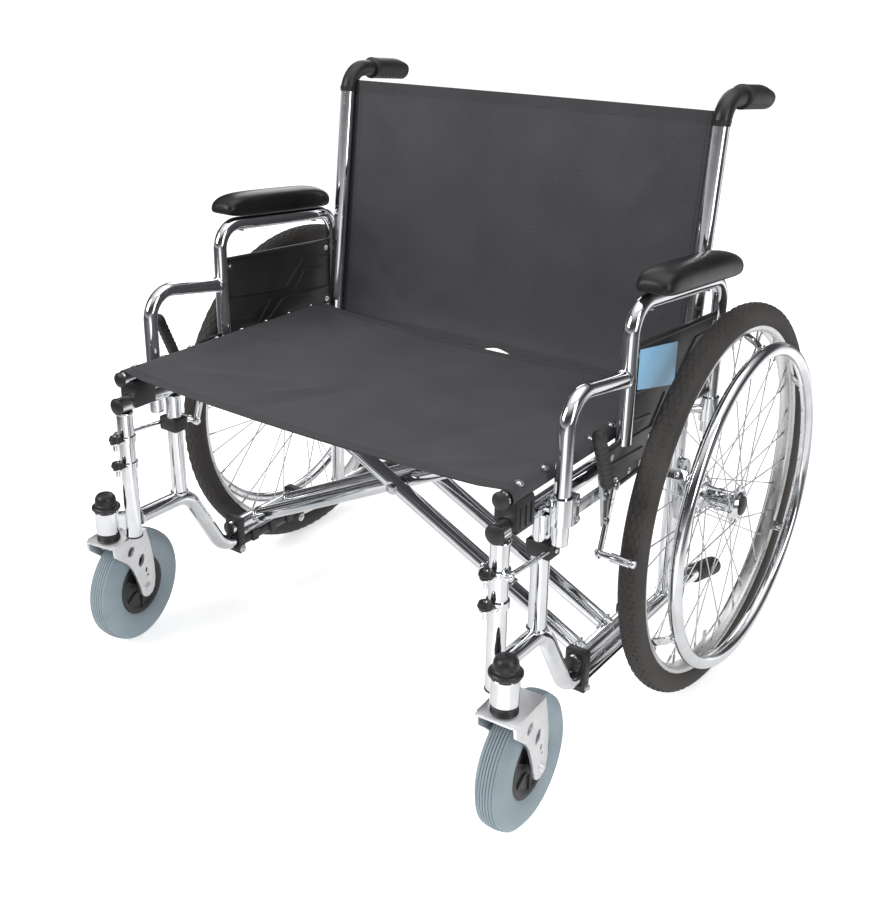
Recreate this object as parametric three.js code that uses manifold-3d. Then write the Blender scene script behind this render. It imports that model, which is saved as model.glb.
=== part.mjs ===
// A heavy-duty folding manual wheelchair with detachable desk-length arms and its leg rests taken off.
// Millimetres, +Z up. The user sits facing -Y, so +X is the user's left hand.
// The origin is on the floor, under the middle of the chair.
import * as THREE from "three";
import { mergeVertices } from "three/addons/utils/BufferGeometryUtils.js";
import Module from "manifold-3d";

const wasm = await Module();
wasm.setup();

// ---- driving dimensions ----
const GAP = 0.3; // clearance left between pieces that touch
const TURNING_GAP = 0.7; // round a tube that turns in its bore
const SIDES = 12; // facets round a tube
const TUBE_R = 12.7; // one-inch frame tube
const SMALL_R = 11.1; // seven-eighths tube of the seat rails and the arms

const FRAME_X = 345; // plane of each side frame
const ARM_X = 376; // plane of each detachable arm
const UPPER_Z = 432; // upper side rail
const SEAT_Z = 473; // seat rail, resting in its saddles
const FRONT_RAIL_Z = 235; // lower rail ahead of its drop
const LOWER_Z = 106; // lower rail behind its drop
const RAIL_FRONT_Y = -382;
const FRONT_POST_Y = -368;
const MID_POST_Y = -267;
const CANE_Y = 141;
const CANE_BEND_Z = 450; // where the back post starts to lean
const CANE_TOP = [190.2, 892]; // corner of the push handle, as Y and Z
const HANDLE_END = [341, 881.5];
const TIP_END = [345, 73]; // tipping lever's rear end
const GRIP_LENGTH = 92;
const GRIP_R = 18.5;

const ARM_FRONT_Y = -115;
const ARM_REAR_Y = 171;
const ARM_FRONT_Z = 662.7;
const ARM_REAR_Z = 638;
const DESK_Y = -275; // post that the desk bar comes down to
const DESK_Z = 587;
const SOCKET_R = 15;
const SOCKET_BORE_R = 11.5;
const SOCKET_LOW_Z = 414;
const SOCKET_HIGH_Z = 452;
const PAD_X = 390;
const PAD_FRONT_Y = -100;
const PAD_LENGTH = 262;
const PAD_WIDTH = 58;
const PAD_THICK = 38;
const GUARD_THICK = 5;

const WHEEL_R = 305; // 24-inch rear wheel
const WHEEL_X = 423;
const AXLE_Y = 135;
const AXLE_R = 6;
const WHEEL_STEPS = 36;
const RIM_IN_R = 262;
const RIM_OUT_R = 271.6;
const SPOKES = 36;
const SPOKE_R = 1.3;
const SPOKE_STAGGER = 1.4; // keeps spokes that cross clear of each other
const FLANGE_R = 30;
const FLANGE_X = 28;
const HAND_RIM_R = 243;
const HAND_RIM_TUBE_R = 10;
const HAND_RIM_OUT = 43.3; // hand rim's plane, outboard of the tyre's

const CASTER_R = 95;
const CASTER_WIDTH = 44;
const CASTER_CORE_R = 50;
const STEM_X = 377;
const STEM_Y = -394.5;
const TRAIL = 50;
const HOUSING_R = 19;
const HOUSING_LOW_Z = 213;
const HOUSING_HIGH_Z = 252;
const CROWN_Z = 195.5;
const YAW_LEFT = 2.8; // how far each caster has swung, in degrees
const YAW_RIGHT = 8.8;

const PIVOT_X = 344; // lower pivot of each cross brace
const PIVOT_Z = 133;
const PIVOT_Y = [-160, 27];
const SADDLE_Y = [-150.5, 20];
const BRACE_A_Y = [-123, -41]; // the two tubes of the brace that starts at the left
const BRACE_B_Y = [-95, -13];
const CROSS_BOLT_R = 5;
const SEAT_RAIL_Y = [-371, 118];
const SEAT_CLOTH_Y = [-362, 105];
const SEAT_SAG = 14;
const CLOTH_THICK = 3;
const BACK_CLOTH_Z = [446, 872];

// ---- materials ----
const finish = (color, roughness, metalness) =>
  new THREE.MeshStandardMaterial({ color, roughness, metalness });
const chrome = finish(0xc9ccd0, 0.12, 1);
const darkPlastic = finish(0x202124, 0.5, 0);
const vinyl = finish(0x1b1c1e, 0.35, 0);
const nylon = finish(0x46474c, 0.9, 0);
const rubber = finish(0x2a2826, 0.8, 0);
const greyRubber = finish(0x8e9ba5, 0.7, 0);
const alloy = finish(0xb9bcc0, 0.3, 0.9);
const steel = finish(0xa8abb0, 0.25, 1);

// ---- solids ----
const toSolid = (geometry) => {
  const bare = geometry.clone();
  bare.deleteAttribute("normal");
  bare.deleteAttribute("uv");
  const merged = mergeVertices(bare, 1e-4);
  return new wasm.Manifold(
    new wasm.Mesh({
      numProp: 3,
      vertProperties: merged.attributes.position.array,
      triVerts: new Uint32Array(merged.index.array),
    }),
  );
};

const toGeometry = (solid) => {
  const { vertProperties, triVerts } = solid.getMesh();
  const geometry = new THREE.BufferGeometry();
  geometry.setAttribute("position", new THREE.BufferAttribute(vertProperties, 3));
  geometry.setIndex(new THREE.BufferAttribute(triVerts, 1));
  geometry.computeVertexNormals();
  return geometry;
};

const join = (first, ...others) =>
  toGeometry(others.reduce((solid, g) => solid.add(toSolid(g)), toSolid(first)));

const cut = (body, ...tools) =>
  toGeometry(tools.reduce((solid, g) => solid.subtract(toSolid(g)), toSolid(body)));

const mesh = (name, geometry, material) => {
  const made = new THREE.Mesh(geometry, material);
  made.name = name;
  return made;
};

const box = (x0, x1, y0, y1, z0, z1) =>
  new THREE.BoxGeometry(x1 - x0, y1 - y0, z1 - z0).translate(
    (x0 + x1) / 2,
    (y0 + y1) / 2,
    (z0 + z1) / 2,
  );

// A straight rod between two points.
const rod = (from, to, radius, sides = SIDES) => {
  const a = new THREE.Vector3(...from);
  const b = new THREE.Vector3(...to);
  const turn = new THREE.Quaternion();
  turn.setFromUnitVectors(new THREE.Vector3(0, 1, 0), b.clone().sub(a).normalize());
  const geometry = new THREE.CylinderGeometry(radius, radius, a.distanceTo(b), sides);
  geometry.applyQuaternion(turn);
  return geometry.translate(...a.add(b).multiplyScalar(0.5).toArray());
};

// The middle line of a bent tube: straight runs joined by round bends.
class BentLine extends THREE.Curve {
  constructor(corners, bendRadius, bendSteps) {
    super();
    this.stops = [corners[0]];
    for (let i = 1; i < corners.length - 1; i++) {
      const corner = corners[i];
      const back = corners[i - 1].clone().sub(corner).normalize();
      const on = corners[i + 1].clone().sub(corner).normalize();
      const halfTurn = (Math.PI - back.angleTo(on)) / 2;
      const run = bendRadius[i - 1] * Math.tan(halfTurn);
      const middle = back.clone().add(on).normalize();
      const centre = corner.clone().addScaledVector(middle, bendRadius[i - 1] / Math.cos(halfTurn));
      const axis = new THREE.Vector3().crossVectors(back, on).normalize();
      const start = corner.clone().addScaledVector(back, run).sub(centre);
      for (let k = 0; k <= bendSteps; k++) {
        const angle = (-2 * halfTurn * k) / bendSteps;
        this.stops.push(start.clone().applyAxisAngle(axis, angle).add(centre));
      }
    }
    this.stops.push(corners.at(-1));
  }
  getPoint(t, target = new THREE.Vector3()) {
    const place = Math.min(t, 1) * (this.stops.length - 1);
    const i = Math.min(Math.floor(place), this.stops.length - 2);
    return target.lerpVectors(this.stops[i], this.stops[i + 1], place - i);
  }
  getUtoTmapping(u) {
    return u;
  }
}

// A tube of circular section, given as corners in one X plane.
const bentTube = (x, corners, bendRadius, radius, bendSteps = 5) => {
  const line = new BentLine(
    corners.map(([y, z]) => new THREE.Vector3(x, y, z)),
    bendRadius,
    bendSteps,
  );
  const section = new THREE.Shape();
  for (let k = 0; k < SIDES; k++) {
    const angle = (2 * Math.PI * k) / SIDES;
    const point = [radius * Math.cos(angle), radius * Math.sin(angle)];
    if (k === 0) section.moveTo(...point);
    else section.lineTo(...point);
  }
  return new THREE.ExtrudeGeometry(section, {
    steps: line.stops.length - 1,
    extrudePath: line,
  });
};

// A flat plate: an outline in Y and Z, given a thickness along X.
const plate = (outline, x0, x1, holes = []) => {
  const shape = new THREE.Shape(outline.map(([y, z]) => new THREE.Vector2(y, z)));
  holes.forEach(([y, z, a, b, tilt]) => {
    const hole = new THREE.Path();
    hole.absellipse(y, z, a, b, 0, 2 * Math.PI, true, tilt);
    shape.holes.push(hole);
  });
  const geometry = new THREE.ExtrudeGeometry(shape, {
    depth: x1 - x0,
    bevelEnabled: false,
    curveSegments: 4,
  });
  const turn = new THREE.Matrix4().makeBasis(
    new THREE.Vector3(0, 1, 0),
    new THREE.Vector3(0, 0, 1),
    new THREE.Vector3(1, 0, 0),
  );
  return geometry.applyMatrix4(turn).translate(x0, 0, 0);
};

// A ring or disc turned about the X axis; its profile is [radius, x] from inside to outside.
const turned = (profile, steps) =>
  new THREE.LatheGeometry(
    profile.map(([r, x]) => new THREE.Vector2(r, x)),
    steps,
  ).rotateZ(-Math.PI / 2);

const closed = (profile) => [...profile, profile[0]];

// ---- one side frame, drawn for the user's left and mirrored for the right ----
const lowerRailLine = [
  [FRONT_POST_Y + TUBE_R + GAP, FRONT_RAIL_Z],
  [-251, FRONT_RAIL_Z],
  [-177, LOWER_Z],
  [212, LOWER_Z],
  TIP_END,
];
const lowerRail = (radius) => bentTube(FRAME_X, lowerRailLine, [45, 45, 80], radius, 4);

const socketAt = (y, neckFrom) => {
  const ring = rod([ARM_X, y, SOCKET_LOW_Z], [ARM_X, y, SOCKET_HIGH_Z], SOCKET_R);
  const neck = rod(neckFrom, [ARM_X, y, UPPER_Z], 8, 8);
  const bore = rod([ARM_X, y, SOCKET_LOW_Z - 1], [ARM_X, y, SOCKET_HIGH_Z + 1], SOCKET_BORE_R);
  return { ring, neck, bore };
};

const backCane = () => {
  const foot = [CANE_Y, LOWER_Z + TUBE_R + GAP];
  const post = bentTube(
    FRAME_X,
    [foot, [CANE_Y, CANE_BEND_Z], CANE_TOP, [HANDLE_END[0] - 12, HANDLE_END[1] + 0.8]],
    [200, 40],
    TUBE_R,
  );
  const socket = socketAt(ARM_REAR_Y, [FRAME_X, CANE_Y, UPPER_Z]);
  return cut(join(post, socket.ring, socket.neck), socket.bore);
};

const handGrip = () => {
  const bore = TUBE_R + GAP;
  const profile = [
    [0, GRIP_LENGTH - 8],
    [bore, GRIP_LENGTH - 8],
    [bore, 0],
    [GRIP_R - 1.5, 0],
    [GRIP_R, 4],
    [GRIP_R, GRIP_LENGTH - 5],
    [GRIP_R - 3, GRIP_LENGTH],
    [0, GRIP_LENGTH],
  ].map(([r, h]) => new THREE.Vector2(r, h));
  const slope = Math.atan2(HANDLE_END[1] - CANE_TOP[1], HANDLE_END[0] - CANE_TOP[0]);
  return new THREE.LatheGeometry(profile, 16)
    .rotateX(slope)
    .translate(
      FRAME_X,
      HANDLE_END[0] - GRIP_LENGTH * Math.cos(slope),
      HANDLE_END[1] - GRIP_LENGTH * Math.sin(slope),
    );
};

const upperRail = () => {
  const rail = rod(
    [FRAME_X, RAIL_FRONT_Y, UPPER_Z],
    [FRAME_X, CANE_Y - TUBE_R - GAP, UPPER_Z],
    TUBE_R,
  );
  const socket = socketAt(DESK_Y, [FRAME_X, DESK_Y, UPPER_Z]);
  return cut(join(rail, socket.ring, socket.neck), socket.bore);
};

const post = (y, foot) =>
  rod([FRAME_X, y, foot], [FRAME_X, y, UPPER_Z - TUBE_R - GAP], TUBE_R);

// A moulded saddle clipped over the upper rail; the seat rail rests in its open top.
const saddle = (y) => {
  const along = (z, radius) => rod([FRAME_X, y - 40, z], [FRAME_X, y + 40, z], radius);
  return cut(
    box(FRAME_X - 17, FRAME_X + 17, y - 20, y + 20, UPPER_Z - 8, SEAT_Z - 4),
    along(UPPER_Z, TUBE_R + GAP),
    along(SEAT_Z, SMALL_R + GAP),
  );
};

const axlePlate = () =>
  join(
    box(FRAME_X + TUBE_R + 0.5, 364, AXLE_Y - 23, AXLE_Y + 23, WHEEL_R - 50, WHEEL_R + 50),
    rod([363, AXLE_Y, WHEEL_R], [WHEEL_X + 40, AXLE_Y, WHEEL_R], AXLE_R, 10),
  );

// The black clamp that holds the cross brace's pivot tube on top of the lower rail.
const braceSaddle = () => {
  const along = (x, z, clearance) => rod([x, -220, z], [x, 80, z], TUBE_R + clearance);
  const block = (y0, y1) => box(FRAME_X - 17, FRAME_X + 17, y0, y1, 84, PIVOT_Z + 17);
  const [front, rear] = SADDLE_Y;
  const strip = box(FRAME_X - 14, FRAME_X + 14, front, rear, 84, 94);
  const solid = join(strip, block(front, front + 14), block(rear - 16, rear));
  return cut(solid, along(FRAME_X, LOWER_Z, GAP), along(PIVOT_X, PIVOT_Z, TURNING_GAP));
};

const armFrame = () => {
  const loop = bentTube(
    ARM_X,
    [
      [ARM_FRONT_Y, 470],
      [ARM_FRONT_Y, ARM_FRONT_Z],
      [ARM_REAR_Y, ARM_REAR_Z],
      [ARM_REAR_Y, SOCKET_LOW_Z - 18],
    ],
    [38, 38],
    SMALL_R,
  );
  const desk = bentTube(
    ARM_X,
    [
      [ARM_FRONT_Y, 563],
      [DESK_Y, DESK_Z],
      [DESK_Y, SOCKET_LOW_Z - 29],
    ],
    [42],
    SMALL_R,
  );
  return join(loop, desk);
};

const armPad = () => {
  const length = PAD_LENGTH;
  const outline = [
    [0, 10],
    [6, 3],
    [16, 0],
    [length - 8, 0],
    [length, 8],
    [length, 18],
    [length - 10, PAD_THICK - 9],
    [length - 40, PAD_THICK],
    [30, PAD_THICK],
    [7, PAD_THICK - 16],
  ];
  const slope = Math.atan2(ARM_REAR_Z - ARM_FRONT_Z, ARM_REAR_Y - ARM_FRONT_Y);
  return plate(outline, -PAD_WIDTH / 2, PAD_WIDTH / 2)
    .rotateX(slope)
    .translate(
      PAD_X,
      PAD_FRONT_Y,
      ARM_FRONT_Z + (PAD_FRONT_Y - ARM_FRONT_Y) * Math.tan(slope) + SMALL_R + 1.6,
    );
};

const skirtGuard = () => {
  const front = ARM_FRONT_Y + SMALL_R + 0.4;
  const rear = ARM_REAR_Y - SMALL_R - 0.4;
  const ahead = ARM_FRONT_Y - SMALL_R - 1;
  const outline = [
    [front, 606],
    [front, 469],
    [ahead, 469],
    [ahead, 480],
    [-173, 478],
    [-173, 432],
    [-132, 408],
    [-50, 410],
    [-40, 462],
    [rear, 462],
    [rear, 590],
  ];
  return plate(outline, ARM_X - GUARD_THICK / 2, ARM_X + GUARD_THICK / 2);
};

// ---- wheel lock ----
const LEVER_PIVOT = [-190, 425];
const SHOE_PIVOT = [-152, 425];
const SHOE_AT = [-182, 335];

const brakeClamp = () =>
  join(
    box(FRAME_X + TUBE_R + 0.5, 384, -259, -241, 404, 446),
    box(379, 384, -242, -142, 416, 434),
    rod([383, ...LEVER_PIVOT], [396, ...LEVER_PIVOT], 3.5, 8),
    rod([383, ...SHOE_PIVOT], [391, ...SHOE_PIVOT], 3.5, 8),
  );

const brakeLever = () => {
  const bar = plate(
    [
      [-193, 380],
      [-179, 380],
      [-181, 425],
      [-196, 458],
      [-209, 458],
      [-199, 425],
    ],
    389,
    394,
  );
  const hole = rod([380, ...LEVER_PIVOT], [400, ...LEVER_PIVOT], 3.9, 8);
  const grip = rod([401, -203, 450], [401, -237, 530], 9, 10);
  return join(cut(bar, hole), grip);
};

const brakeShoe = () => {
  const [y, z] = SHOE_PIVOT;
  const [shoeY, shoeZ] = SHOE_AT;
  const link = plate(
    [
      [y - 8, z + 8],
      [shoeY - 7, shoeZ],
      [shoeY - 4, shoeZ - 7],
      [shoeY + 7, shoeZ - 4],
      [y + 8, z],
      [y + 6, z + 8],
    ],
    385,
    388,
  );
  const hole = rod([380, y, z], [395, y, z], 3.9, 8);
  return join(cut(link, hole), rod([386, ...SHOE_AT], [438, ...SHOE_AT], 4.5, 10));
};

// ---- casters ----
const casterHousing = () => {
  const shell = rod([STEM_X, STEM_Y, HOUSING_LOW_Z], [STEM_X, STEM_Y, HOUSING_HIGH_Z], HOUSING_R, 16);
  const arm = new THREE.BoxGeometry(44, 8, 34);
  arm.rotateZ(Math.atan2(FRONT_POST_Y - STEM_Y, FRAME_X - STEM_X));
  arm.translate((FRAME_X + STEM_X) / 2, (FRONT_POST_Y + STEM_Y) / 2, 232);
  const postHole = rod([FRAME_X, FRONT_POST_Y, 190], [FRAME_X, FRONT_POST_Y, 270], TUBE_R + GAP);
  const stemHole = rod([STEM_X, STEM_Y, 200], [STEM_X, STEM_Y, 260], 9.4, 10);
  return cut(join(shell, arm), postHole, stemHole);
};

const casterCap = () => {
  const low = HOUSING_HIGH_Z + GAP;
  const profile = [
    [0, low],
    [20, low],
    [22.6, low + 3],
    [22, low + 9],
    [18, low + 11],
    [16.5, low + 21],
    [11, low + 27],
    [0, low + 29],
  ].map(([r, h]) => new THREE.Vector2(r, h));
  return new THREE.LatheGeometry(profile, 16).rotateX(Math.PI / 2).translate(STEM_X, STEM_Y, 0);
};

const forkLeg = (x0, x1) =>
  plate(
    [
      [-22, CROWN_Z + 2],
      [-20, CROWN_Z - 14],
      [14, 150],
      [30, 104],
      [36, 86],
      [50, 78],
      [64, 86],
      [69, 104],
      [66, 150],
      [56, CROWN_Z + 2],
    ],
    x0,
    x1,
    [
      [6, 177, 9, 5, -0.7],
      [36, 142, 12, 6, -1.15],
    ],
  );

const casterFork = () => {
  const leg = CASTER_WIDTH / 2 + 3.3;
  return join(
    box(-leg - 4.5, leg + 4.5, -24, 57, CROWN_Z, CROWN_Z + 5),
    forkLeg(-leg - 4.5, -leg),
    forkLeg(leg, leg + 4.5),
    rod([0, 0, CROWN_Z + 4], [0, 0, HOUSING_LOW_Z - GAP], 17, 16),
    rod([0, 0, CROWN_Z + 4], [0, 0, HOUSING_HIGH_Z - 2], 8.5, 10),
    rod([-leg - 9, TRAIL, CASTER_R], [leg + 9, TRAIL, CASTER_R], AXLE_R, 10),
  );
};

const casterTyre = () => {
  const half = CASTER_WIDTH / 2;
  const profile = closed([
    [CASTER_CORE_R, half - 6],
    [CASTER_CORE_R, -half + 6],
    [62, -half + 1],
    [78, -half],
    [89, -half + 6],
    [CASTER_R, -half + 15],
    [CASTER_R, half - 15],
    [89, half - 6],
    [78, half],
    [62, half - 1],
  ]);
  return turned(profile, 24).translate(0, TRAIL, CASTER_R);
};

const casterCore = () => {
  const half = CASTER_WIDTH / 2;
  const bore = AXLE_R + 0.5;
  const profile = closed([
    [bore, half + 1],
    [bore, -half - 1],
    [16, -half - 1],
    [20, -half + 8],
    [40, -half + 8],
    [CASTER_CORE_R - GAP - 0.3, -half + 6],
    [CASTER_CORE_R - GAP - 0.3, half - 6],
    [40, half - 8],
    [20, half - 8],
    [16, half + 1],
  ]);
  return turned(profile, 16).translate(0, TRAIL, CASTER_R);
};

// ---- rear wheels ----
const wheelPlace = (geometry) => geometry.translate(WHEEL_X, AXLE_Y, WHEEL_R);

const wheelTyre = () =>
  wheelPlace(
    turned(
      closed([
        [RIM_OUT_R + GAP + 0.3, 12],
        [RIM_OUT_R + GAP + 0.3, -12],
        [283, -18.5],
        [294, -18.5],
        [302, -11],
        [WHEEL_R, 0],
        [302, 11],
        [294, 18.5],
        [283, 18.5],
      ]),
      WHEEL_STEPS,
    ),
  );

const wheelRim = () =>
  wheelPlace(
    turned(
      closed([
        [RIM_IN_R, 6],
        [RIM_IN_R, -6],
        [266, -12.5],
        [RIM_OUT_R, -12.5],
        [RIM_OUT_R, 12.5],
        [266, 12.5],
      ]),
      WHEEL_STEPS,
    ),
  );

// Hub and its cross-laced spokes: each spoke leaves its flange almost along the flange's edge.
const wheelHub = () => {
  const shell = turned(
    closed([
      [AXLE_R + 0.4, 36],
      [AXLE_R + 0.4, -32],
      [20, -32],
      [FLANGE_R, -FLANGE_X - 1.5],
      [FLANGE_R, -FLANGE_X + 1.5],
      [17, -FLANGE_X + 6],
      [17, FLANGE_X - 6],
      [FLANGE_R, FLANGE_X - 1.5],
      [FLANGE_R, FLANGE_X + 1.5],
      [20, 36],
    ]),
    18,
  );
  const spokes = [];
  for (let k = 0; k < SPOKES; k++) {
    const side = k % 2 ? 1 : -1;
    const lean = Math.floor(k / 2) % 2 ? 1 : -1;
    const outer = (2 * Math.PI * (k + 0.5)) / SPOKES;
    const inner = outer + lean * 1.2;
    const at = (r, angle, x) => [x, r * Math.cos(angle), r * Math.sin(angle)];
    spokes.push(
      rod(
        at(FLANGE_R - 3, inner, side * (FLANGE_X + lean * SPOKE_STAGGER)),
        at(RIM_IN_R - 2, outer, side * (4 + lean * 1.5)),
        SPOKE_R,
        3,
      ),
    );
  }
  return wheelPlace(join(shell, ...spokes));
};

const handRim = () => {
  const ring = new THREE.TorusGeometry(HAND_RIM_R, HAND_RIM_TUBE_R, 8, WHEEL_STEPS);
  ring.rotateY(Math.PI / 2).translate(HAND_RIM_OUT, 0, 0);
  const tabs = [];
  for (let k = 0; k < 6; k++) {
    const tab = new THREE.BoxGeometry(4, 16, 32);
    tab.rotateY(Math.atan2(13.6 - HAND_RIM_OUT + 8, RIM_IN_R + 5 - HAND_RIM_R));
    tab.translate((HAND_RIM_OUT - 6 + 15) / 2, 0, (HAND_RIM_R + RIM_IN_R + 6) / 2);
    tabs.push(tab.rotateX(((k + 0.25) * Math.PI) / 3));
  }
  return wheelPlace(join(ring, ...tabs));
};

function sideFrame(side, yaw) {
  const group = new THREE.Group();
  const add = (name, geometry, material) => group.add(mesh(`${name}_${side}`, geometry, material));
  const midFoot = cut(post(MID_POST_Y, FRONT_RAIL_Z + 3), lowerRail(TUBE_R + GAP));
  add("back_cane", backCane(), chrome);
  add("hand_grip", handGrip(), rubber);
  add("upper_rail", upperRail(), chrome);
  add("front_post", post(FRONT_POST_Y, 206), chrome);
  add("mid_post", midFoot, chrome);
  add("lower_rail", lowerRail(TUBE_R), chrome);
  add("seat_saddle_front", saddle(-337), darkPlastic);
  add("seat_saddle_rear", saddle(40), darkPlastic);
  add("axle_plate", axlePlate(), steel);
  add("brace_saddle", braceSaddle(), darkPlastic);
  add("arm_frame", armFrame(), chrome);
  add("arm_pad", armPad(), vinyl);
  add("skirt_guard", skirtGuard(), darkPlastic);
  add("brake_clamp", brakeClamp(), steel);
  add("brake_lever", brakeLever(), darkPlastic);
  add("brake_shoe", brakeShoe(), steel);
  add("caster_housing", casterHousing(), chrome);
  add("caster_cap", casterCap(), darkPlastic);
  add("wheel_tyre", wheelTyre(), rubber);
  add("wheel_rim", wheelRim(), alloy);
  add("wheel_hub", wheelHub(), alloy);
  add("hand_rim", handRim(), chrome);

  const caster = new THREE.Group();
  caster.position.set(STEM_X, STEM_Y, 0);
  caster.rotation.z = THREE.MathUtils.degToRad(yaw);
  caster.add(mesh(`caster_fork_${side}`, casterFork(), chrome));
  caster.add(mesh(`caster_tyre_${side}`, casterTyre(), greyRubber));
  caster.add(mesh(`caster_core_${side}`, casterCore(), darkPlastic));
  group.add(caster);
  return group;
}

// ---- cross brace, seat rails and cloth ----
const BRACE_TOP = [-FRAME_X, SEAT_Z];
const crossZ = PIVOT_Z + ((SEAT_Z - PIVOT_Z) * PIVOT_X) / (PIVOT_X + FRAME_X);

// One brace: a pivot tube along the lower rail, and two tubes that climb to the far seat rail.
const brace = (tubesAt) => {
  const climb = new THREE.Vector2(BRACE_TOP[0] - PIVOT_X, BRACE_TOP[1] - PIVOT_Z);
  const reach = 1 - (SMALL_R + 0.6) / climb.length();
  const endX = PIVOT_X + climb.x * reach;
  const endZ = PIVOT_Z + climb.y * reach;
  const pivot = rod([PIVOT_X, PIVOT_Y[0], PIVOT_Z], [PIVOT_X, PIVOT_Y[1], PIVOT_Z], TUBE_R);
  const tubes = tubesAt.map((y) => rod([PIVOT_X, y, PIVOT_Z], [endX, y, endZ], TUBE_R));
  const bore = rod([0, -200, crossZ], [0, 60, crossZ], CROSS_BOLT_R + GAP, 10);
  return cut(join(pivot, ...tubes), bore);
};

const crossBolt = (front, rear) => {
  const head = (y0, y1) => rod([0, y0, crossZ], [0, y1, crossZ], 9.5, 6);
  const shank = rod([0, front - 17, crossZ], [0, rear + 17, crossZ], CROSS_BOLT_R, 10);
  return join(
    shank,
    head(front - TUBE_R - 5.4, front - TUBE_R - 0.4),
    head(rear + TUBE_R + 0.4, rear + TUBE_R + 5.4),
  );
};

const seatRail = (x) =>
  rod([x, SEAT_RAIL_Y[0], SEAT_Z], [x, SEAT_RAIL_Y[1], SEAT_Z], SMALL_R);

// The seat cloth lies over both seat rails and sags between them.
const seatSling = () => {
  const low = SEAT_Z + SMALL_R + GAP;
  const steps = 13; // an odd count keeps a level strip down the middle
  const under = [];
  for (let k = 0; k <= steps; k++) {
    const across = (2 * k) / steps - 1;
    under.push([across * FRAME_X, low - SEAT_SAG * (1 - across ** 2)]);
  }
  const over = under.map(([x, z]) => [x, z + CLOTH_THICK]).reverse();
  const shape = new THREE.Shape([...under, ...over].map(([x, z]) => new THREE.Vector2(x, z)));
  const depth = SEAT_CLOTH_Y[1] - SEAT_CLOTH_Y[0];
  return new THREE.ExtrudeGeometry(shape, { depth, bevelEnabled: false })
    .rotateX(Math.PI / 2)
    .translate(0, SEAT_CLOTH_Y[1], 0);
};

// The back cloth leans with the back posts and hangs just behind their middle.
const backSling = () => {
  const lean = (CANE_TOP[0] - CANE_Y) / (CANE_TOP[1] - CANE_BEND_Z);
  const yAt = (z) => CANE_Y + 8 + Math.max(0, z - CANE_BEND_Z) * lean;
  const [low, high] = BACK_CLOTH_Z;
  const half = FRAME_X - TUBE_R - 0.8;
  const outline = [
    [yAt(low), low],
    [yAt(low) + CLOTH_THICK + 1, low],
    [yAt(high) + CLOTH_THICK + 1, high],
    [yAt(high), high],
  ];
  return plate(outline, -half, half);
};

const wheelchair = new THREE.Group();
const leftSide = sideFrame("left", YAW_LEFT);
const rightSide = sideFrame("right", -YAW_RIGHT);
rightSide.scale.x = -1;
wheelchair.add(leftSide, rightSide);

const braceB = new THREE.Group();
braceB.scale.x = -1;
braceB.add(mesh("brace_b", brace(BRACE_B_Y), chrome));
wheelchair.add(mesh("brace_a", brace(BRACE_A_Y), chrome), braceB);
wheelchair.add(mesh("cross_bolt_front", crossBolt(BRACE_A_Y[0], BRACE_B_Y[0]), steel));
wheelchair.add(mesh("cross_bolt_rear", crossBolt(BRACE_A_Y[1], BRACE_B_Y[1]), steel));
wheelchair.add(mesh("seat_rail_right", seatRail(-FRAME_X), chrome));
wheelchair.add(mesh("seat_rail_left", seatRail(FRAME_X), chrome));
wheelchair.add(mesh("seat_sling", seatSling(), nylon));
wheelchair.add(mesh("back_sling", backSling(), nylon));

export default wheelchair;
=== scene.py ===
# %% [markdown]
# A wide folding wheelchair in chromed tube, with a sling seat and back.
# The imported model is the fixed frame: every piece made here sits on it, and all but the seat sheet, its
# hem and its thread ride on one of its bodies.
# Nothing is fitted by eye, because the frame and this file share one set of metres.

# %% Load the frame
import math

import bpy
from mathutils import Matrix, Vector


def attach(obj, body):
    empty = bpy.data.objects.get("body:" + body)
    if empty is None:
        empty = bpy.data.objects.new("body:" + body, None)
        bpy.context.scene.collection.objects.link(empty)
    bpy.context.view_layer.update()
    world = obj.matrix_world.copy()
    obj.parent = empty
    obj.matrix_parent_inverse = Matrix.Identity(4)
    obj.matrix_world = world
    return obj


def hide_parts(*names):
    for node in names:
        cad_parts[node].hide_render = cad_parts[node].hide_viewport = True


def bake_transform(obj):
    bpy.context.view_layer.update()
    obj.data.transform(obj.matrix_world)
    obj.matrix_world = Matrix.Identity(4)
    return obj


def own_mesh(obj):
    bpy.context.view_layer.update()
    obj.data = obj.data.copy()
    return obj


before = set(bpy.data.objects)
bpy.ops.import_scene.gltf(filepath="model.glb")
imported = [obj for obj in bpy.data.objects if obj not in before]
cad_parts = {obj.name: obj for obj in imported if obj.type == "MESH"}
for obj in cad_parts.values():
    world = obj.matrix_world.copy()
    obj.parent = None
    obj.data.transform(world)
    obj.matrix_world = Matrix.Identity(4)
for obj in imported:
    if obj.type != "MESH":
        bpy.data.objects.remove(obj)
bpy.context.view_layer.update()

# %% [markdown]
# Blender's operators act on whatever is selected, so each step starts from an empty selection.
# These few helpers wrap the moves that every piece needs: go in and out of edit mode, put the place
# into the mesh, turn the normals out, copy to the other side, and hand the piece to its body.


def mm(x, y, z):
    return Vector((x, y, z)) / 1000


def clear():
    bpy.ops.object.select_all(action="DESELECT")


def pick(*pieces):
    clear()
    for piece in pieces:
        piece.select_set(True)
    bpy.context.view_layer.objects.active = pieces[0]


def edit():
    bpy.ops.object.mode_set(mode="EDIT")
    bpy.ops.mesh.select_all(action="SELECT")


def leave():
    """Back to object mode, with the piece's place put into its mesh."""
    bpy.ops.object.mode_set(mode="OBJECT")
    bpy.ops.object.transform_apply(location=True, rotation=True, scale=True)
    return bpy.context.object


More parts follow.
